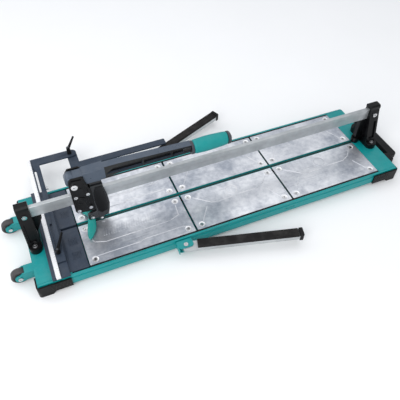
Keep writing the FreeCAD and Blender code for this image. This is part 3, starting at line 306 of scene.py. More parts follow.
def make_cloud_group():
    """Soft uneven patches, as handling and casting leave them."""
    tree, into, out = group("cloudy_patches", [("Place", "NodeSocketVector", None),
                                               ("Scale", "NodeSocketFloat", 8.0)],
                            [("Mask", "NodeSocketFloat")])
    broad = noise_node(tree, into.outputs["Place"], into.outputs["Scale"], 4.0, 0.6)
    fine_scale = math_node(tree, "MULTIPLY", into.outputs["Scale"], 9.0)
    fine = noise_node(tree, into.outputs["Place"], fine_scale, 2.0)
    mixed = math_node(tree, "ADD", math_node(tree, "MULTIPLY", broad, 0.75),
                      math_node(tree, "MULTIPLY", fine, 0.25))
    tree.links.new(range_node(tree, mixed, 0.38, 0.64), out.inputs["Mask"])
    return tree


def make_scratch_group():
    """Fine scratches drawn out along one direction."""
    tree, into, out = group("long_scratches", [("Place", "NodeSocketVector", None),
                                               ("Scale", "NodeSocketFloat", 60.0),
                                               ("Stretch", "NodeSocketVector", (0.04, 1.0, 1.0))],
                            [("Mask", "NodeSocketFloat")])
    pulled = tree.nodes.new("ShaderNodeVectorMath")
    pulled.operation = "MULTIPLY"
    tree.links.new(into.outputs["Place"], pulled.inputs[0])
    tree.links.new(into.outputs["Stretch"], pulled.inputs[1])
    lines = noise_node(tree, pulled.outputs[0], into.outputs["Scale"], 4.0, 0.7)
    tree.links.new(range_node(tree, lines, 0.56, 0.72), out.inputs["Mask"])
    return tree


def make_dust_group():
    """Light dust that settles on faces that look up."""
    tree, into, out = group("settled_dust", [("Place", "NodeSocketVector", None),
                                             ("Amount", "NodeSocketFloat", 0.2)],
                            [("Mask", "NodeSocketFloat")])
    facing = split_node(tree, tree.nodes.new("ShaderNodeNewGeometry").outputs["Normal"])
    upward = range_node(tree, facing["Z"], 0.3, 1.0)
    patches = range_node(tree, noise_node(tree, into.outputs["Place"], 22.0, 6.0, 0.7), 0.42, 0.7)
    both = math_node(tree, "MULTIPLY", upward, patches)
    tree.links.new(math_node(tree, "MULTIPLY", both, into.outputs["Amount"]), out.inputs["Mask"])
    return tree


CLOUDS = make_cloud_group()
SCRATCHES = make_scratch_group()
DUST = make_dust_group()
DUST_COLOUR = (0.62, 0.60, 0.56, 1)


# ---------------------------------------------------------------- materials


def opened(made):
    """A material's tree, its shader and the object's own coordinates."""
    tree = made.node_tree
    place = tree.nodes.new("ShaderNodeTexCoord").outputs["Object"]
    return tree, tree.nodes["Principled BSDF"], place


def material(name, metallic=0.0, coat=0.0, specular=0.5):
    """An empty material with its shader and the object's own coordinates."""
    made = bpy.data.materials.new(name)
    made.use_nodes = True
    tree, shader, place = opened(made)
    shader.inputs["Metallic"].default_value = metallic
    shader.inputs["Coat Weight"].default_value = coat
    shader.inputs["Coat Roughness"].default_value = 0.25
    shader.inputs["Specular IOR Level"].default_value = specular
    return made, tree, shader, place


def effect(tree, shared, place, **values):
    """Places a shared effect in a material and returns its mask."""
    node = tree.nodes.new("ShaderNodeGroup")
    node.node_tree = shared
    tree.links.new(place, node.inputs["Place"])
    for key, value in values.items():
        node.inputs[key].default_value = value
    return node.outputs["Mask"]


def mix_colour(tree, mask, first, second):
    """Blends two colours, given as numbers or sockets, by a mask."""
    node = tree.nodes.new("ShaderNodeMix")
    node.data_type = "RGBA"
    for socket, value in ((node.inputs[0], mask), (node.inputs[6], first), (node.inputs[7], second)):
        if isinstance(value, (int, float, tuple)):
            socket.default_value = value
        else:
            tree.links.new(value, socket)
    return node.outputs[2]


def bump(tree, shader, height, distance):
    """Feeds a height to the shader's normal."""
    node = tree.nodes.new("ShaderNodeBump")
    node.inputs["Distance"].default_value = distance
    node.inputs["Strength"].default_value = 1.0
    tree.links.new(height, node.inputs["Height"])
    tree.links.new(node.outputs["Normal"], shader.inputs["Normal"])


def coated(name, colour, worn, rough, grain_scale, grain_depth, dust=0.04, metallic=0.0, coat=0.0,
           scratch=0.12, specular=0.35):
    """Paint, coating or moulded plastic: uneven colour, scratches, fine grain and a little dust."""
    made, tree, shader, place = material(name, metallic, coat, specular)
    patches = effect(tree, CLOUDS, place, Scale=7.0)
    darker = tuple(0.88 * part for part in colour[:3]) + (1,)
    base = mix_colour(tree, patches, darker, colour)
    lines = math_node(tree, "MULTIPLY", effect(tree, SCRATCHES, place, Scale=130.0), scratch)
    base = mix_colour(tree, lines, base, worn)
    settled = effect(tree, DUST, place, Amount=dust)
    base = mix_colour(tree, settled, base, DUST_COLOUR)
    tree.links.new(base, shader.inputs["Base Color"])
    grain = noise_node(tree, place, grain_scale, 2.0)
    uneven = math_node(tree, "ADD", math_node(tree, "MULTIPLY", patches, 0.12), rough - 0.06)
    dull = math_node(tree, "ADD", uneven, math_node(tree, "MULTIPLY", settled, 0.4), clamp=True)
    tree.links.new(dull, shader.inputs["Roughness"])
    bump(tree, shader, grain, grain_depth)
    return made


def bare_metal(name, dark, light, rough, stretch, brush_scale, cloud_scale, brush_depth=0.00004,
               metallic=0.9):
    """Bare metal with brushing along one direction and cloudy patches."""
    made, tree, shader, place = material(name, metallic)
    patches = effect(tree, CLOUDS, place, Scale=cloud_scale)
    lines = effect(tree, SCRATCHES, place, Scale=brush_scale, Stretch=stretch)
    base = mix_colour(tree, patches, dark, light)
    brushed = tuple(0.75 * part for part in dark[:3]) + (1,)
    base = mix_colour(tree, math_node(tree, "MULTIPLY", lines, 0.35), base, brushed)
    tree.links.new(base, shader.inputs["Base Color"])
    uneven = math_node(tree, "ADD", math_node(tree, "MULTIPLY", patches, -0.10), rough + 0.05)
    dull = math_node(tree, "ADD", uneven, math_node(tree, "MULTIPLY", lines, 0.12), clamp=True)
    tree.links.new(dull, shader.inputs["Roughness"])
    bump(tree, shader, lines, brush_depth)
    return made


def ruler_metal():
    """Bright anodised bar with a black line every 10 mm and a longer one every 50 mm along one edge."""
    made = bare_metal("ruler_aluminium", (0.88, 0.88, 0.90, 1), (0.97, 0.97, 0.98, 1), 0.42,
                      (1.0, 0.04, 1.0), 120.0, 5.0, metallic=0.35)
    tree, shader, place = opened(made)
    base = shader.inputs["Base Color"].links[0].from_socket
    at = split_node(tree, place)
    from_edge = math_node(tree, "SUBTRACT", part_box("fence_ruler")[1].x, at["X"])
    marks = []
    for spacing, length, width in ((10 * MM, 3.5 * MM, 0.05), (50 * MM, 7 * MM, 0.014)):
        turns = math_node(tree, "FRACT", math_node(tree, "DIVIDE", at["Y"], spacing))
        line = math_node(tree, "LESS_THAN", turns, width)
        inside = math_node(tree, "LESS_THAN", from_edge, length)
        marks.append(math_node(tree, "MULTIPLY", line, inside))
    either = math_node(tree, "MAXIMUM", marks[0], marks[1])
    marked = mix_colour(tree, either, base, (0.03, 0.03, 0.03, 1))
    tree.links.new(marked, shader.inputs["Base Color"])
    return made


def strip_paint():
    """Dark green paint on the breaking strip, with fine cross serrations."""
    made = coated("strip_paint", (0.002, 0.035, 0.033, 1), (0.10, 0.16, 0.155, 1), 0.45, 900.0, 0.00004)
    tree, shader, place = opened(made)
    wave = tree.nodes.new("ShaderNodeTexWave")
    wave.bands_direction = "X"
    wave.inputs["Scale"].default_value = 60.0
    tree.links.new(place, wave.inputs["Vector"])
    bump(tree, shader, wave.outputs["Fac"], 0.0006)
    return made


def pad_plastic():
    """Slate plastic with a small pebbled texture."""
    made = coated("pad_plastic", (0.032, 0.046, 0.072, 1), (0.12, 0.14, 0.17, 1), 0.40, 500.0, 0.0001)
    tree, shader, place = opened(made)
    pebbles = tree.nodes.new("ShaderNodeTexVoronoi")
    pebbles.inputs["Scale"].default_value = 420.0
    tree.links.new(place, pebbles.inputs["Vector"])
    bump(tree, shader, pebbles.outputs["Distance"], 0.0003)
    return made


def plate_metal(name, dark, light, rough):
    """Cast aluminium plate: cloudy, rubbed bright along the cutting direction."""
    return bare_metal(name, dark, light, rough, (0.08, 1.0, 1.0), 90.0, 6.5, 0.00003, 0.85)


def handle_casting():
    """Slate paint on the lever, left black round the quadrant, with painted shade near black in the pockets of its
    sides.
    """
    metallic = 0.45
    made = coated("slate_casting", (0.075, 0.098, 0.135, 1), (0.24, 0.26, 0.29, 1), 0.30, 420.0, 0.00006,
                  metallic=metallic, coat=0.25)
    tree, shader, place = opened(made)
    base = shader.inputs["Base Color"].links[0].from_socket
    at = split_node(tree, place)
    left = math_node(tree, "LESS_THAN", at["X"], QUADRANT_END_X)
    below = math_node(tree, "LESS_THAN", at["Z"], QUADRANT_TOP_Z)
    quadrant = math_node(tree, "MULTIPLY", left, below)
    off_middle = math_node(tree, "ABSOLUTE", math_node(tree, "SUBTRACT", at["Y"], CUT_LINE_Y))
    # painted shade: faces looking sideways inside the pockets are coloured near black, where the recess lies in
    # shade
    inside = math_node(tree, "LESS_THAN", off_middle, POCKET_FLOOR)
    facing = split_node(tree, tree.nodes.new("ShaderNodeNewGeometry").outputs["Normal"])
    sideways = math_node(tree, "GREATER_THAN", math_node(tree, "ABSOLUTE", facing["Y"]), 0.6)
    pocket_shade_mask = math_node(tree, "MULTIPLY", inside, sideways)
    dark = math_node(tree, "MAXIMUM", quadrant, pocket_shade_mask)
    with_pocket_shade = mix_colour(tree, pocket_shade_mask, base, (0.0015, 0.0015, 0.002, 1))
    colour = mix_colour(tree, quadrant, with_pocket_shade, (0.013, 0.014, 0.016, 1))
    tree.links.new(colour, shader.inputs["Base Color"])
    shine = math_node(tree, "SUBTRACT", metallic, math_node(tree, "MULTIPLY", dark, metallic))
    tree.links.new(shine, shader.inputs["Metallic"])
    return made


def make_materials():
    """Every material slot of the record, by name."""
    return {
        "teal_paint": coated("teal_paint", (0.0, 0.285, 0.29, 1), (0.05, 0.38, 0.38, 1), 0.34, 600.0,
                             0.00003, coat=0.1),
        "foot_paint": coated("foot_paint", (0.0, 0.29, 0.26, 1), (0.1, 0.4, 0.35, 1), 0.4, 500.0, 0.00004,
                             coat=0.1),
        "strip_paint": strip_paint(),
        "black_casting": coated("black_casting", (0.002, 0.002, 0.0025, 1), (0.02, 0.02, 0.022, 1), 0.34,
                                450.0, 0.00008, specular=0.22, dust=0.01),
        "slate_casting": handle_casting(),
        "slate_coat": coated("slate_coat", (0.038, 0.054, 0.082, 1), (0.15, 0.165, 0.19, 1), 0.36, 700.0,
                             0.00004, metallic=0.3),
        "pad_plastic": pad_plastic(),
        "black_plastic": coated("black_plastic", (0.0045, 0.0045, 0.005, 1), (0.03, 0.03, 0.03, 1), 0.45,
                                800.0, 0.00008, specular=0.2, dust=0.01),
        "black_rubber": coated("black_rubber", (0.009, 0.008, 0.008, 1), (0.03, 0.03, 0.03, 1), 0.6, 700.0,
                               0.00012, specular=0.2),
        "plate_aluminium": plate_metal("plate_aluminium", (0.38, 0.41, 0.47, 1), (0.88, 0.89, 0.92, 1),
                                       0.38),
        "rail_aluminium": bare_metal("rail_aluminium", (0.40, 0.42, 0.43, 1), (0.60, 0.62, 0.63, 1), 0.34,
                                     (0.03, 1.0, 1.0), 140.0, 4.0, 0.00003, 0.7),
        "ruler_aluminium": ruler_metal(),
        "bright_steel": bare_metal("bright_steel", (0.50, 0.50, 0.51, 1), (0.80, 0.80, 0.81, 1), 0.22,
                                   (1.0, 1.0, 1.0), 300.0, 40.0, 0.00001, 1.0),
        "spring_rubber": coated("spring_rubber", (0.012, 0.012, 0.012, 1), (0.04, 0.04, 0.04, 1), 0.6, 700.0,
                                0.0001, specular=0.25),
        "roller_steel": bare_metal("roller_steel", (0.42, 0.43, 0.45, 1), (0.70, 0.71, 0.73, 1), 0.25,
                                   (1.0, 0.05, 1.0), 400.0, 50.0, 0.00001, 1.0),
        "grip_rubber": coated("grip_rubber", (0.006, 0.285, 0.28, 1), (0.06, 0.46, 0.43, 1), 0.5, 900.0,
                              0.00006, scratch=0.06),
        "collar_plastic": coated("collar_plastic", (0.05, 0.055, 0.065, 1), (0.3, 0.31, 0.32, 1), 0.35,
                                 700.0, 0.00003),
        "wheel_plastic": coated("wheel_plastic", (0.055, 0.052, 0.054, 1), (0.2, 0.2, 0.2, 1), 0.5, 700.0,
                                0.00006),
    }


MATERIALS = make_materials()
BEAD_METAL = bare_metal("bead_metal", (0.54, 0.56, 0.60, 1), (0.88, 0.88, 0.90, 1), 0.38,
                        (0.08, 1.0, 1.0), 90.0, 12.0, 0.00002, 0.35)
CUP_METAL = bare_metal("cup_metal", (0.78, 0.78, 0.80, 1), (0.95, 0.95, 0.95, 1), 0.24,
                       (1.0, 1.0, 1.0), 300.0, 40.0, 0.00001, 0.6)


def dress_cad_nodes():
    """Gives every CAD node the material of its slot in the record."""
    for entry in frame["record"]["subparts"]:
        node = NODES[entry["node"]]
        node.data.materials.clear()
        node.data.materials.append(MATERIALS[entry["material_slot"]])


def soften(node, width, segments=2):
    """Breaks the sharp edges of a CAD node with live modifiers; its mesh stays as it is."""
    obj = NODES[node]
    weld = obj.modifiers.new("Weld", "WELD")
    weld.merge_threshold = WELD_GAP
    edge = obj.modifiers.new("Edges", "BEVEL")
    edge.width = width
    edge.segments = segments
    edge.limit_method = "ANGLE"
    edge.angle_limit = SOFTEN_ANGLE


# ---------------------------------------------------------------- table


def plate_screws(plate):
    """Places of the four screws of one plate."""
    low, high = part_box("table_plate_" + plate)
    return [(x, y) for x in (low.x + SCREW_INSET_X, high.x - SCREW_INSET_X)
            for y in (low.y + SCREW_INSET_Y, high.y - SCREW_INSET_Y)]


def spot(plate, along, across):
    """A point on a plate: shares of the way between its screws, from the left and from the front."""
    low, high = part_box("table_plate_" + plate)
    x = low.x + SCREW_INSET_X + along * (high.x - low.x - 2 * SCREW_INSET_X)
    y = low.y + SCREW_INSET_Y + across * (high.y - low.y - 2 * SCREW_INSET_Y)
    return Vector((x, y, TABLE_TOP))


def bead(name, start, end):
    """One straight length of cast bead between two points on a plate."""
    length = (end - start).length + RIDGE_WIDTH
    half = RIDGE_WIDTH / 2
    made = box_piece(name, (-half, -half, -RIDGE_RISE), (length - half, half, RIDGE_RISE))
    pick_faces(made, lambda centre, normal: normal.z > 0.9)
    bpy.ops.transform.resize(value=(1, 0.5, 1))
    leave_edit()
    way = end - start
    made.data.transform(Matrix.Translation(start) @ Matrix.Rotation(math.atan2(way.y, way.x), 4, "Z"))
    return made


def emblem_ring(plate):
    """Plain raised ring in the middle of a plate."""
    x, y, z = spot(plate, 0.5, 0.82)
    clear_selection()
    bpy.ops.mesh.primitive_cylinder_add(vertices=48, radius=RING_R, depth=2 * RIDGE_RISE, location=(x, y, z),
                                        end_fill_type="NGON")
    ring = begin("emblem_ring")
    pick_faces(ring, lambda centre, normal: abs(normal.z) > 0.9)
    bpy.ops.mesh.inset(thickness=RIDGE_WIDTH, depth=0)
    bpy.ops.mesh.delete(type="FACE")
    leave_edit()
    return ring


def plate_beads(plate):
    """Raised beads cast into the top of one plate."""
    first = plate.endswith("1")
    runs = FIRST_PLATE_RUNS if first else OTHER_PLATE_RUNS
    pieces = []
    for run in runs:
        points = [spot(plate, along, across) for along, across in run]
        for start, end in zip(points, points[1:]):
            pieces.append(bead(f"bead_{len(pieces)}", start, end))
    if not first:
        pieces.append(emblem_ring(plate))
    made = joined("plate_beads_" + plate, pieces)
    return finish_piece(made, BEAD_METAL, "plate_" + plate)


def cup_washers(plate):
    """Bright dished rings pressed into the dimples round the four screws of one plate."""
    x, y = plate_screws(plate)[0]
    base = TABLE_TOP - CUP_DEPTH
    middle = base + CUP_DEPTH / 2
    clear_selection()
    bpy.ops.mesh.primitive_cone_add(vertices=40, radius1=CUP_BORE, radius2=CUP_R, depth=CUP_DEPTH,
                                    end_fill_type="NOTHING", location=(x, y, middle))
    cup = begin("cup")
    bpy.ops.object.mode_set(mode="EDIT")
    bpy.ops.mesh.select_mode(type="EDGE")
    bpy.ops.mesh.select_all(action="DESELECT")
    leave_edit()
    for edge in cup.data.edges:
        edge.select = all(cup.data.vertices[v].co.z > middle for v in edge.vertices)
    bpy.ops.object.mode_set(mode="EDIT")
    bpy.ops.mesh.extrude_edges_move(TRANSFORM_OT_translate={"value": (0, 0, 0.15 * MM)})
    bpy.ops.transform.resize(value=(1.22, 1.22, 1), center_override=(x, y, TABLE_TOP))
    bpy.ops.mesh.select_all(action="SELECT")
    bpy.ops.mesh.normals_make_consistent(inside=True)
    leave_edit()
    modifier(cup, "SOLIDIFY", thickness=0.3 * MM, offset=1)
    smooth(cup, 50)
    made = joined("cup_washers_" + plate, repeated(cup, plate_screws(plate)))
    return finish_piece(made, CUP_METAL, "plate_" + plate)


def screw_sockets_and_shade():
    """Dark hexagon sockets in the heads of the table screws, made wider than the real ones so that their black is
    also painted shade for the dimples round the heads.
    """
    head_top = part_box("table_screws")[1].z
    places = [place for plate in PLATES for place in plate_screws(plate)]
    x, y = places[0]
    clear_selection()
    bpy.ops.mesh.primitive_cylinder_add(vertices=6, radius=SOCKET_R, depth=1.0 * MM,
                                        location=(x, y, head_top - 0.2 * MM))
    first = begin("socket")
    pick_faces(first, lambda centre, normal: normal.z > 0.9)
    bpy.ops.mesh.inset(thickness=0.5 * MM, depth=0)
    bpy.ops.transform.translate(value=(0, 0, -0.6 * MM))
    leave_edit()
    made = joined("screw_sockets_and_shade", repeated(first, places))
    return finish_piece(made, MATERIALS["black_casting"], "frame")


def spring_sleeves(plate):
    """The four corrugated rubber springs under one plate."""
    low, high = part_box("table_springs")
    length = high.z - low.z
    fold = length / SPRING_FOLDS
    stations = [(0, SPRING_VALLEY_R)]
    for k in range(SPRING_FOLDS):
        stations.append(((k + CREST_START) * fold, SPRING_CREST_R))
        stations.append(((k + 1 - CREST_START) * fold, SPRING_CREST_R))
        stations.append(((k + 1) * fold, SPRING_VALLEY_R))
    x, y = plate_screws(plate)[0]
    first = turned("sleeve", (x, y, low.z), (0, 0, 1), stations, 24)
    made = joined("spring_sleeves_" + plate, repeated(first, plate_screws(plate)))
    smooth(made, 50)
    finish_piece(made, MATERIALS["spring_rubber"], "frame")
    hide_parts("table_springs")
    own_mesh(made)


def gap_edges(side, way):
    """Bright painted edge of the strip along the middle gap."""
    gap_end = PLATE_HIGH.y if way < 0 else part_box("table_plate_rear_1")[0].y
    outer = gap_end - way * 0.4 * MM
    inner = gap_end - way * 2.0 * MM
    bottom = min(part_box("centre_beam")[1].z, TABLE_TOP - 4 * MM)
    top = TABLE_TOP - 0.6 * MM
    start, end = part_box("table_plate_front_1")[0].x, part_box("table_plate_front_3")[1].x
    edge = box_piece("gap_edge_" + side, (start, min(outer, inner), bottom),
                     (end, max(outer, inner), top))
    rounded(edge, 0.5 * MM)
    return finish_piece(edge, MATERIALS["teal_paint"], "frame")


def tread_bars(name, low, high, count, lean, metal, body, rise):
    """A band of small raised bars that all lean the same way."""
    pitch = (high[0] - low[0]) / count
    half = 0.16 * pitch
    first = box_piece(name + "_bar", (low[0] + pitch / 2 - half, low[1], low[2] - 0.2 * MM),
                      (low[0] + pitch / 2 + half, high[1], low[2] + rise))
    pick_faces(first, lambda centre, normal: normal.z > 0.9)
    bpy.ops.transform.resize(value=(0.7, 0.94, 1))
    leave_edit()
    rounded(first, 0.35 * rise)
    centre = Vector((low[0] + pitch / 2, (low[1] + high[1]) / 2, 0))
    bars = [copy_of(first, f"{name}_{k}", shift=(k * pitch, 0, 0), turn=lean, about=centre)
            for k in range(count)]
    bpy.data.objects.remove(first)
    made = joined(name, bars)
    return finish_piece(made, metal, body)


def plate_tread(row):
    """Band of low bars cast into the first plate of one row."""
    near = spot(f"{row}_1", 0.16, 0.60)
    far = spot(f"{row}_1", 0.74, 0.86)
    return tread_bars("plate_tread_" + row, near, far, 22, math.radians(-14), MATERIALS["plate_aluminium"],
                      f"plate_{row}_1", 0.9 * MM)


def pad_tread(row):
    """Rows of small bars moulded into an end pad."""
    low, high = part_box("end_pad_" + row)
    centre_y = (low.y + high.y) / 2
    outward = 1 if row == "front" else -1
    for part, offset in (("inner", 0.17), ("outer", -0.17)):
        y = centre_y + offset * (high.y - low.y) * outward
        tread_bars(f"pad_tread_{row}_{part}", (low.x + 14 * MM, y - 16 * MM, high.z),
                   (high.x - 14 * MM, y + 16 * MM, high.z), 6, 0.0, MATERIALS["slate_coat"],
                   "frame", 1.8 * MM)


# ---------------------------------------------------------------- handle and carriage


def grip_sleeve():
    """Soft sleeve of the lever: a swelling body with a waist near the collar."""
    length = GRIP_HIGH.x - GRIP_LOW.x
    start = (GRIP_LOW.x, CUT_LINE_Y, GRIP_AXIS_Z)
    shape = [(0.0, 0.86), (0.02, 0.94), (0.10, 0.99), (0.22, 1.03), (0.38, 1.07), (0.58, 1.04), (0.78, 0.98),
             (0.93, 0.93), (0.98, 0.88), (1.0, 0.80)]
    stations = [(share * length, swell * GRIP_R) for share, swell in shape]
    sleeve = turned("grip_sleeve", start, (1, 0, 0), stations, 40)
    pick_faces(sleeve, lambda centre, normal: True)
    bpy.ops.transform.resize(value=(1, 1.04, GRIP_DEEPER), center_override=start)
    leave_edit()
    modifier(sleeve, "SUBSURF", levels=1, render_levels=1)
    smooth(sleeve, 50)
    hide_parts("handle_grip")
    return finish_piece(sleeve, MATERIALS["grip_rubber"], "handle")


def grip_rings():
    """Shallow raised rings near the collar end of the sleeve."""
    start = (GRIP_LOW.x, CUT_LINE_Y, GRIP_AXIS_Z)
    foot, crest = 0.96 * GRIP_R, 1.025 * GRIP_R
    rings = []
    for k in range(4):
        x = 12 * MM + k * 7 * MM
        rings.append(turned(f"ring_{k}", start, (1, 0, 0),
                            [(x, foot), (x + 0.6 * MM, crest), (x + 2.4 * MM, crest), (x + 3.0 * MM, foot)],
                            40))
    made = joined("grip_rings", rings)
    pick_faces(made, lambda centre, normal: True)
    bpy.ops.transform.resize(value=(1, 1.03, 0.97 * GRIP_DEEPER), center_override=start)
    leave_edit()
    smooth(made, 40)
    return finish_piece(made, MATERIALS["grip_rubber"], "handle")


def carriage_covers():
    """Round bearing covers on both side plates of the carriage."""
    for side, way in SIDES:
        low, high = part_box("carriage_plate_" + side)
        face = side_face("carriage_plate_" + side, way)
        middle = (low.x + 0.42 * (high.x - low.x), face, low.z + 0.38 * (high.z - low.z))
        cover = turned("bearing_cover_" + side, middle, (0, way, 0),
                       [(-1.0 * MM, 17 * MM), (1.8 * MM, 17 * MM), (3.0 * MM, 15.6 * MM),
                        (3.0 * MM, 12.5 * MM), (1.4 * MM, 11.5 * MM), (1.4 * MM, 5.0 * MM),
                        (2.6 * MM, 4.2 * MM)], 40)
        smooth(cover, 35)
        finish_piece(cover, MATERIALS["black_casting"], "carriage")


def outlined_panel(name, corners, face_y, way, rise):
    """A flat panel on a side face: an outline of corners, extruded out and recessed inside a rim."""
    clear_selection()
    bpy.ops.mesh.primitive_circle_add(vertices=len(corners), radius=1, fill_type="NGON")
    panel = begin(name)
    for vertex, (x, z) in zip(panel.data.vertices, corners):
        vertex.co = (x, face_y - way * EMBED, z)
    bpy.ops.object.mode_set(mode="EDIT")
    bpy.ops.mesh.select_all(action="SELECT")
    bpy.ops.mesh.extrude_region_move(TRANSFORM_OT_translate={"value": (0, way * (rise + EMBED), 0)})
    bpy.ops.mesh.inset(thickness=RIM_WIDTH, depth=0)
    bpy.ops.transform.translate(value=(0, -way * 0.8 * rise, 0))
    bpy.ops.mesh.select_all(action="SELECT")
    bpy.ops.mesh.normals_make_consistent(inside=False)
    leave_edit()
    return rounded(panel, 0.3 * rise)


def quadrant_rims():
    """Raised rims round a recessed middle on both cheeks of the quadrant."""
    pivot_x, pivot_z = lever_pivot()
    shape = [(66, -40), (89, -40), (96, -90), (99, -134), (94, -166), (72, -174), (60, -160), (56, -110),
             (57, -70)]
    corners = [(pivot_x + x * MM, pivot_z + z * MM) for x, z in shape]
    for side, way in SIDES:
        rim = outlined_panel("quadrant_rim_" + side, corners, CUT_LINE_Y + way * CHEEK_HALF, way, 1.6 * MM)
        finish_piece(rim, MATERIALS["black_casting"], "handle")


def lever_pivot():
    """Place (x, z) of the hinge that the lever turns on."""
    x, _, z = joint_of("handle")["pos_m"]
    return x, z


def hub_dome():
    """Rounded hub of the lever above its pivot, where the casting swells."""
    pivot_x, pivot_z = lever_pivot()
    start = (pivot_x - 4 * MM, CUT_LINE_Y - CHEEK_HALF - 0.6 * MM, pivot_z + 11 * MM)
    width = 2 * CHEEK_HALF + 1.2 * MM
    hub = turned("hub_dome", start, (0, 1, 0),
                 [(0, 16 * MM), (1.6 * MM, 18.6 * MM), (3.6 * MM, 20 * MM), (width - 3.6 * MM, 20 * MM),
                  (width - 1.6 * MM, 18.6 * MM), (width, 16 * MM)], 48)
    smooth(hub, 50)
    return finish_piece(hub, MATERIALS["slate_casting"], "handle")


def carriage_rims():
    """Rims round the raised panels of the carriage side plates."""
    pivot_x, pivot_z = lever_pivot()
    shape = [(-12, -112), (22, -120), (26, -62), (24, -14), (-6, -12), (-12, -24)]
    corners = [(pivot_x + x * MM, pivot_z + z * MM) for x, z in shape]
    for side, way in SIDES:
        face = side_face("carriage_plate_" + side, way)
        rim = outlined_panel("carriage_rim_" + side, corners, face, way, 1.2 * MM)
        finish_piece(rim, MATERIALS["black_casting"], "carriage")


def gap_shadows():
    """Black strips of painted shadow in the gaps between the outer edges of the plates and the side rails."""
    for side, way in SIDES:
        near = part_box(f"table_plate_{side}_1")[0].x
        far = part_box(f"table_plate_{side}_3")[1].x
        edge = side_face(f"table_plate_{side}_1", way)
        width = 0.42 * abs(side_face("side_rail_" + side, way) - edge)
        sides = sorted((edge + way * 0.4 * MM, edge + way * width))
        strip = box_piece("seal_strip_" + side, (near, sides[0], TABLE_TOP - 1.0 * MM),
                          (far, sides[1], TABLE_TOP + 0.5 * MM))
        rounded(strip, 0.5 * MM)
        finish_piece(strip, MATERIALS["black_rubber"], "frame")


def lofted(name, stations, vertices=20):
    """A swept form: an oval that is extruded through (centre, half width, half height) stations along Y."""
    clear_selection()
    centre, wide, high = stations[0]
    bpy.ops.mesh.primitive_circle_add(vertices=vertices, radius=1, location=centre,
                                      rotation=(math.radians(90), 0, 0), fill_type="NGON")
    bpy.context.active_object.scale = (wide, high, 1)
    obj = begin(name)
    bpy.ops.object.mode_set(mode="EDIT")
    bpy.ops.mesh.select_all(action="SELECT")
    for (before, wide, high), (after, next_wide, next_high) in zip(stations, stations[1:]):
        bpy.ops.mesh.extrude_region_move(TRANSFORM_OT_translate={"value": Vector(after) - Vector(before)})
        bpy.ops.transform.resize(value=(next_wide / wide, 1, next_high / high), center_override=after)
    bpy.ops.mesh.select_all(action="SELECT")
    bpy.ops.mesh.normals_make_consistent(inside=False)
    leave_edit()
    return obj


def breaker_wings():
    """Leaf-shaped wings of the breaker foot and its hub, in place of the plain foot."""
    low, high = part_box("breaker_foot")
    hub = Vector((high.x - 15 * MM, CUT_LINE_Y, high.z - 12 * MM))
    reach = (high.y - low.y) / 2
    tip_x = low.x + 5 * MM
    base = low.z
    # share of the reach, then half width, half height and rise in mm
    shape = [(0.02, 12, 11, 26), (0.18, 14, 9, 20), (0.36, 17, 7.5, 13), (0.55, 17, 6.5, 8.5),
             (0.74, 14, 5.5, 6.5), (0.90, 8.5, 4.5, 5.2), (1.0, 2.5, 3.0, 4.5)]
    parts = []
    for way in (-1, 1):
        stations = []
        for share, half_wide, half_high, rise in shape:
            x = hub.x + (tip_x - hub.x) * share ** FOOT_SWEEP
            centre = (x, CUT_LINE_Y + way * share * reach, base + rise * MM)
            stations.append((centre, half_wide * MM, half_high * MM))
        wing = lofted(f"wing_{way}", stations)
        modifier(wing, "SUBSURF", levels=1, render_levels=1)
        parts.append(wing)
    boss = turned("foot_boss", (hub.x, CUT_LINE_Y - 13 * MM, hub.z), (0, 1, 0),
                  [(0, 9 * MM), (1.5 * MM, 11.5 * MM), (24.5 * MM, 11.5 * MM), (26 * MM, 9 * MM)], 32)
    web = box_piece("foot_web", (hub.x - 9 * MM, CUT_LINE_Y - 9 * MM, base + 12 * MM),
                    (hub.x + 9 * MM, CUT_LINE_Y + 9 * MM, hub.z))
    rounded(web, 3 * MM)
    foot = joined("breaker_wings", parts + [boss, web])
    smooth(foot, 50)
    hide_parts("breaker_foot")
    return finish_piece(foot, MATERIALS["foot_paint"], "breaker_foot")


# ---------------------------------------------------------------- frame details


def fence_lip():
    """Slate strip that closes the gap between the fence and the end pads."""
    fence_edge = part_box("fence_body")[1].x
    front_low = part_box("end_pad_front")[0]
    rear_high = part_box("end_pad_rear")[1]
    low = (fence_edge - 0.3 * MM, front_low.y, TABLE_TOP - 0.5 * MM)
    high = (front_low.x + 0.3 * MM, rear_high.y, TABLE_TOP + 1.2 * MM)
    lip = box_piece("fence_lip", low, high)
    pick_faces(lip, lambda centre, normal: normal.z > 0.9)
    bpy.ops.mesh.inset(thickness=1.6 * MM, depth=-0.8 * MM)
    leave_edit()
    rounded(lip, 0.4 * MM)
    return finish_piece(lip, MATERIALS["slate_coat"], "frame")


def boot_ribs():
    """Moulded ribs along the outer side of each corner boot."""
    for end in ("left", "right"):
        for side, way in SIDES:
            low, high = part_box(f"corner_boot_{side}_{end}")
            face = side_face(f"corner_boot_{side}_{end}", way)
            far, toward = (high.x, 1) if end == "left" else (low.x, -1)
            ribs = []
            for k in range(6):
                x = far - toward * (8 + 12 * k) * MM
                rib = box_piece(f"rib_{k}", (x - 1.6 * MM, face - 0.9 * MM, high.z - 26 * MM),
                                (x + 1.6 * MM, face + 0.9 * MM, high.z - 5 * MM))
                ribs.append(rounded(rib, 0.5 * MM))
            made = joined(f"boot_ribs_{side}_{end}", ribs)
            finish_piece(made, MATERIALS["black_plastic"], "frame")


def lever_buttons():
    """Domed release buttons on the bosses of the two clamp levers."""
    for lever in ("stop_clamp_lever", "fence_clamp_lever"):
        x, y, _ = joint_of(lever)["pos_m"]
        button = turned("button_" + lever, (x, y, boss_top(lever, x, y)), (0, 0, 1),
                        [(-1.0 * MM, 4.6 * MM), (1.0 * MM, 4.6 * MM), (2.0 * MM, 3.8 * MM),
                         (2.4 * MM, 2.0 * MM)], 24)
        smooth(button, 50)
        finish_piece(button, MATERIALS["collar_plastic"], lever)


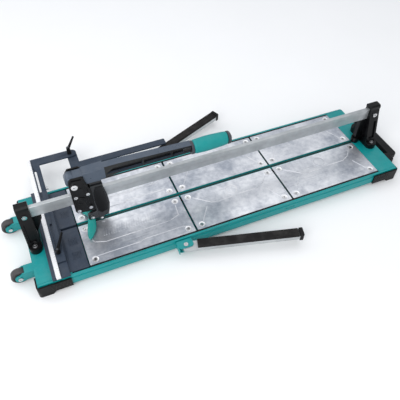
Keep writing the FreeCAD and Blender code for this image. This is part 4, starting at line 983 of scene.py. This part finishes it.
def boss_top(node, x, y):
    """Height of the top of a lever's boss, read from its mesh close to its axis."""
    boss_r = 8.5 * MM
    return max(vertex.co.z for vertex in NODES[node].data.vertices
               if math.hypot(vertex.co.x - x, vertex.co.y - y) < boss_r)


# ---------------------------------------------------------------- stage

CAMERA_PLACE = (-0.5568, -1.1835, 1.4516)
CAMERA_AZIMUTH = 23.618
CAMERA_ELEVATION = 49.384
CAMERA_ROLL = -0.940
CAMERA_LENS = 42.736


def studio():
    """Pale floor, soft lights from above and a pale room."""
    clear_selection()
    bpy.ops.mesh.primitive_plane_add(size=14, location=(0, 0, 0))
    floor = begin("floor")
    made, tree, shader, place = material("pale_floor")
    patches = noise_node(tree, place, 3.0)
    tone = mix_colour(tree, patches, (0.93, 0.93, 0.93, 1), (0.96, 0.96, 0.96, 1))
    tree.links.new(tone, shader.inputs["Base Color"])
    shader.inputs["Roughness"].default_value = 0.9
    floor.data.materials.append(made)
    world = bpy.data.worlds.new("pale_room")
    world.use_nodes = True
    background = world.node_tree.nodes["Background"]
    background.inputs["Color"].default_value = (0.92, 0.95, 1.0, 1)
    background.inputs["Strength"].default_value = 0.66
    bpy.context.scene.world = world
    # name, place, target, width, height (m) and power (W)
    lights = [("softbox_over_table", (0.9, 0.75, 2.6), (0.6, 0.4, 0.0), 4.2, 2.4, 18.0),
              ("key_front_left", (-1.9, -1.9, 2.3), (0.0, 0.0, 0.0), 2.6, 2.2, 62.0),
              ("fill_left_back", (-2.2, 1.8, 2.0), (-0.2, 0.0, 0.1), 2.4, 2.0, 18.0)]
    for name, place_at, target, width, height, power in lights:
        data = bpy.data.lights.new(name, "AREA")
        data.shape = "RECTANGLE"
        data.size = width
        data.size_y = height
        data.energy = power
        lamp = bpy.data.objects.new(name, data)
        lamp.location = place_at
        direction = Vector(target) - Vector(place_at)
        lamp.rotation_euler = direction.to_track_quat("-Z", "Y").to_euler()
        bpy.context.scene.collection.objects.link(lamp)
    bpy.context.scene.view_settings.view_transform = "Standard"


def camera():
    """Camera above the front left, looking down along the table."""
    data = bpy.data.cameras.new("camera")
    data.sensor_width = 36
    data.lens = CAMERA_LENS
    eye = bpy.data.objects.new("camera", data)
    azimuth, elevation = math.radians(CAMERA_AZIMUTH), math.radians(CAMERA_ELEVATION)
    look = Vector((math.sin(azimuth) * math.cos(elevation), math.cos(azimuth) * math.cos(elevation),
                   -math.sin(elevation)))
    turn = look.to_track_quat("-Z", "Y").to_matrix().to_4x4()
    turn = turn @ Matrix.Rotation(math.radians(-CAMERA_ROLL), 4, "Z")
    eye.matrix_world = Matrix.Translation(Vector(CAMERA_PLACE)) @ turn
    bpy.context.scene.collection.objects.link(eye)
    bpy.context.scene.camera = eye


# ---------------------------------------------------------------- the whole model

# width in mm of the softened edges of each CAD node
SOFT_EDGES = {
    "rail_post_left": 1.6, "rail_post_right": 1.6, "handle_lever": 2.0, "carriage_plate_front": 1.2,
    "carriage_plate_rear": 1.2, "corner_boot_front_left": 1.8, "corner_boot_front_right": 1.8,
    "corner_boot_rear_left": 1.8, "corner_boot_rear_right": 1.8, "side_rail_front": 0.7,
    "side_rail_rear": 0.7,
    "end_plate_left": 0.8, "end_plate_right": 0.8, "fence_body": 0.6, "fence_ruler": 0.5, "stop_slide": 0.8,
    "stop_arm": 0.8, "end_pad_front": 1.2, "end_pad_rear": 1.2, "guide_rail": 0.4,
    "arm_channel_front": 0.4, "arm_channel_rear": 0.4, "arm_cap_front": 1.0, "arm_cap_rear": 1.0,
    "wheel_bracket_front": 0.6, "wheel_bracket_rear": 0.6, "arm_bracket_front": 0.5, "arm_bracket_rear": 0.5,
    "frame_bolts": 0.4, "carriage_bolts": 0.4, "grip_collars": 0.6, "breaker_bar": 0.3,
}

dress_cad_nodes()
for node_name, edge_width in SOFT_EDGES.items():
    soften(node_name, edge_width * MM)
for plate_name in PLATES:
    soften("table_plate_" + plate_name, 0.5 * MM)
    plate_beads(plate_name)
    cup_washers(plate_name)
    spring_sleeves(plate_name)
for row_name in ("front", "rear"):
    plate_tread(row_name)
    pad_tread(row_name)
fence_lip()
screw_sockets_and_shade()
for side_name, way_out in SIDES:
    gap_edges(side_name, way_out)
grip_sleeve()
grip_rings()
carriage_covers()
carriage_rims()
quadrant_rims()
hub_dome()
gap_shadows()
breaker_wings()
boot_ribs()
lever_buttons()
studio()
camera()

bpy.context.view_layer.update()
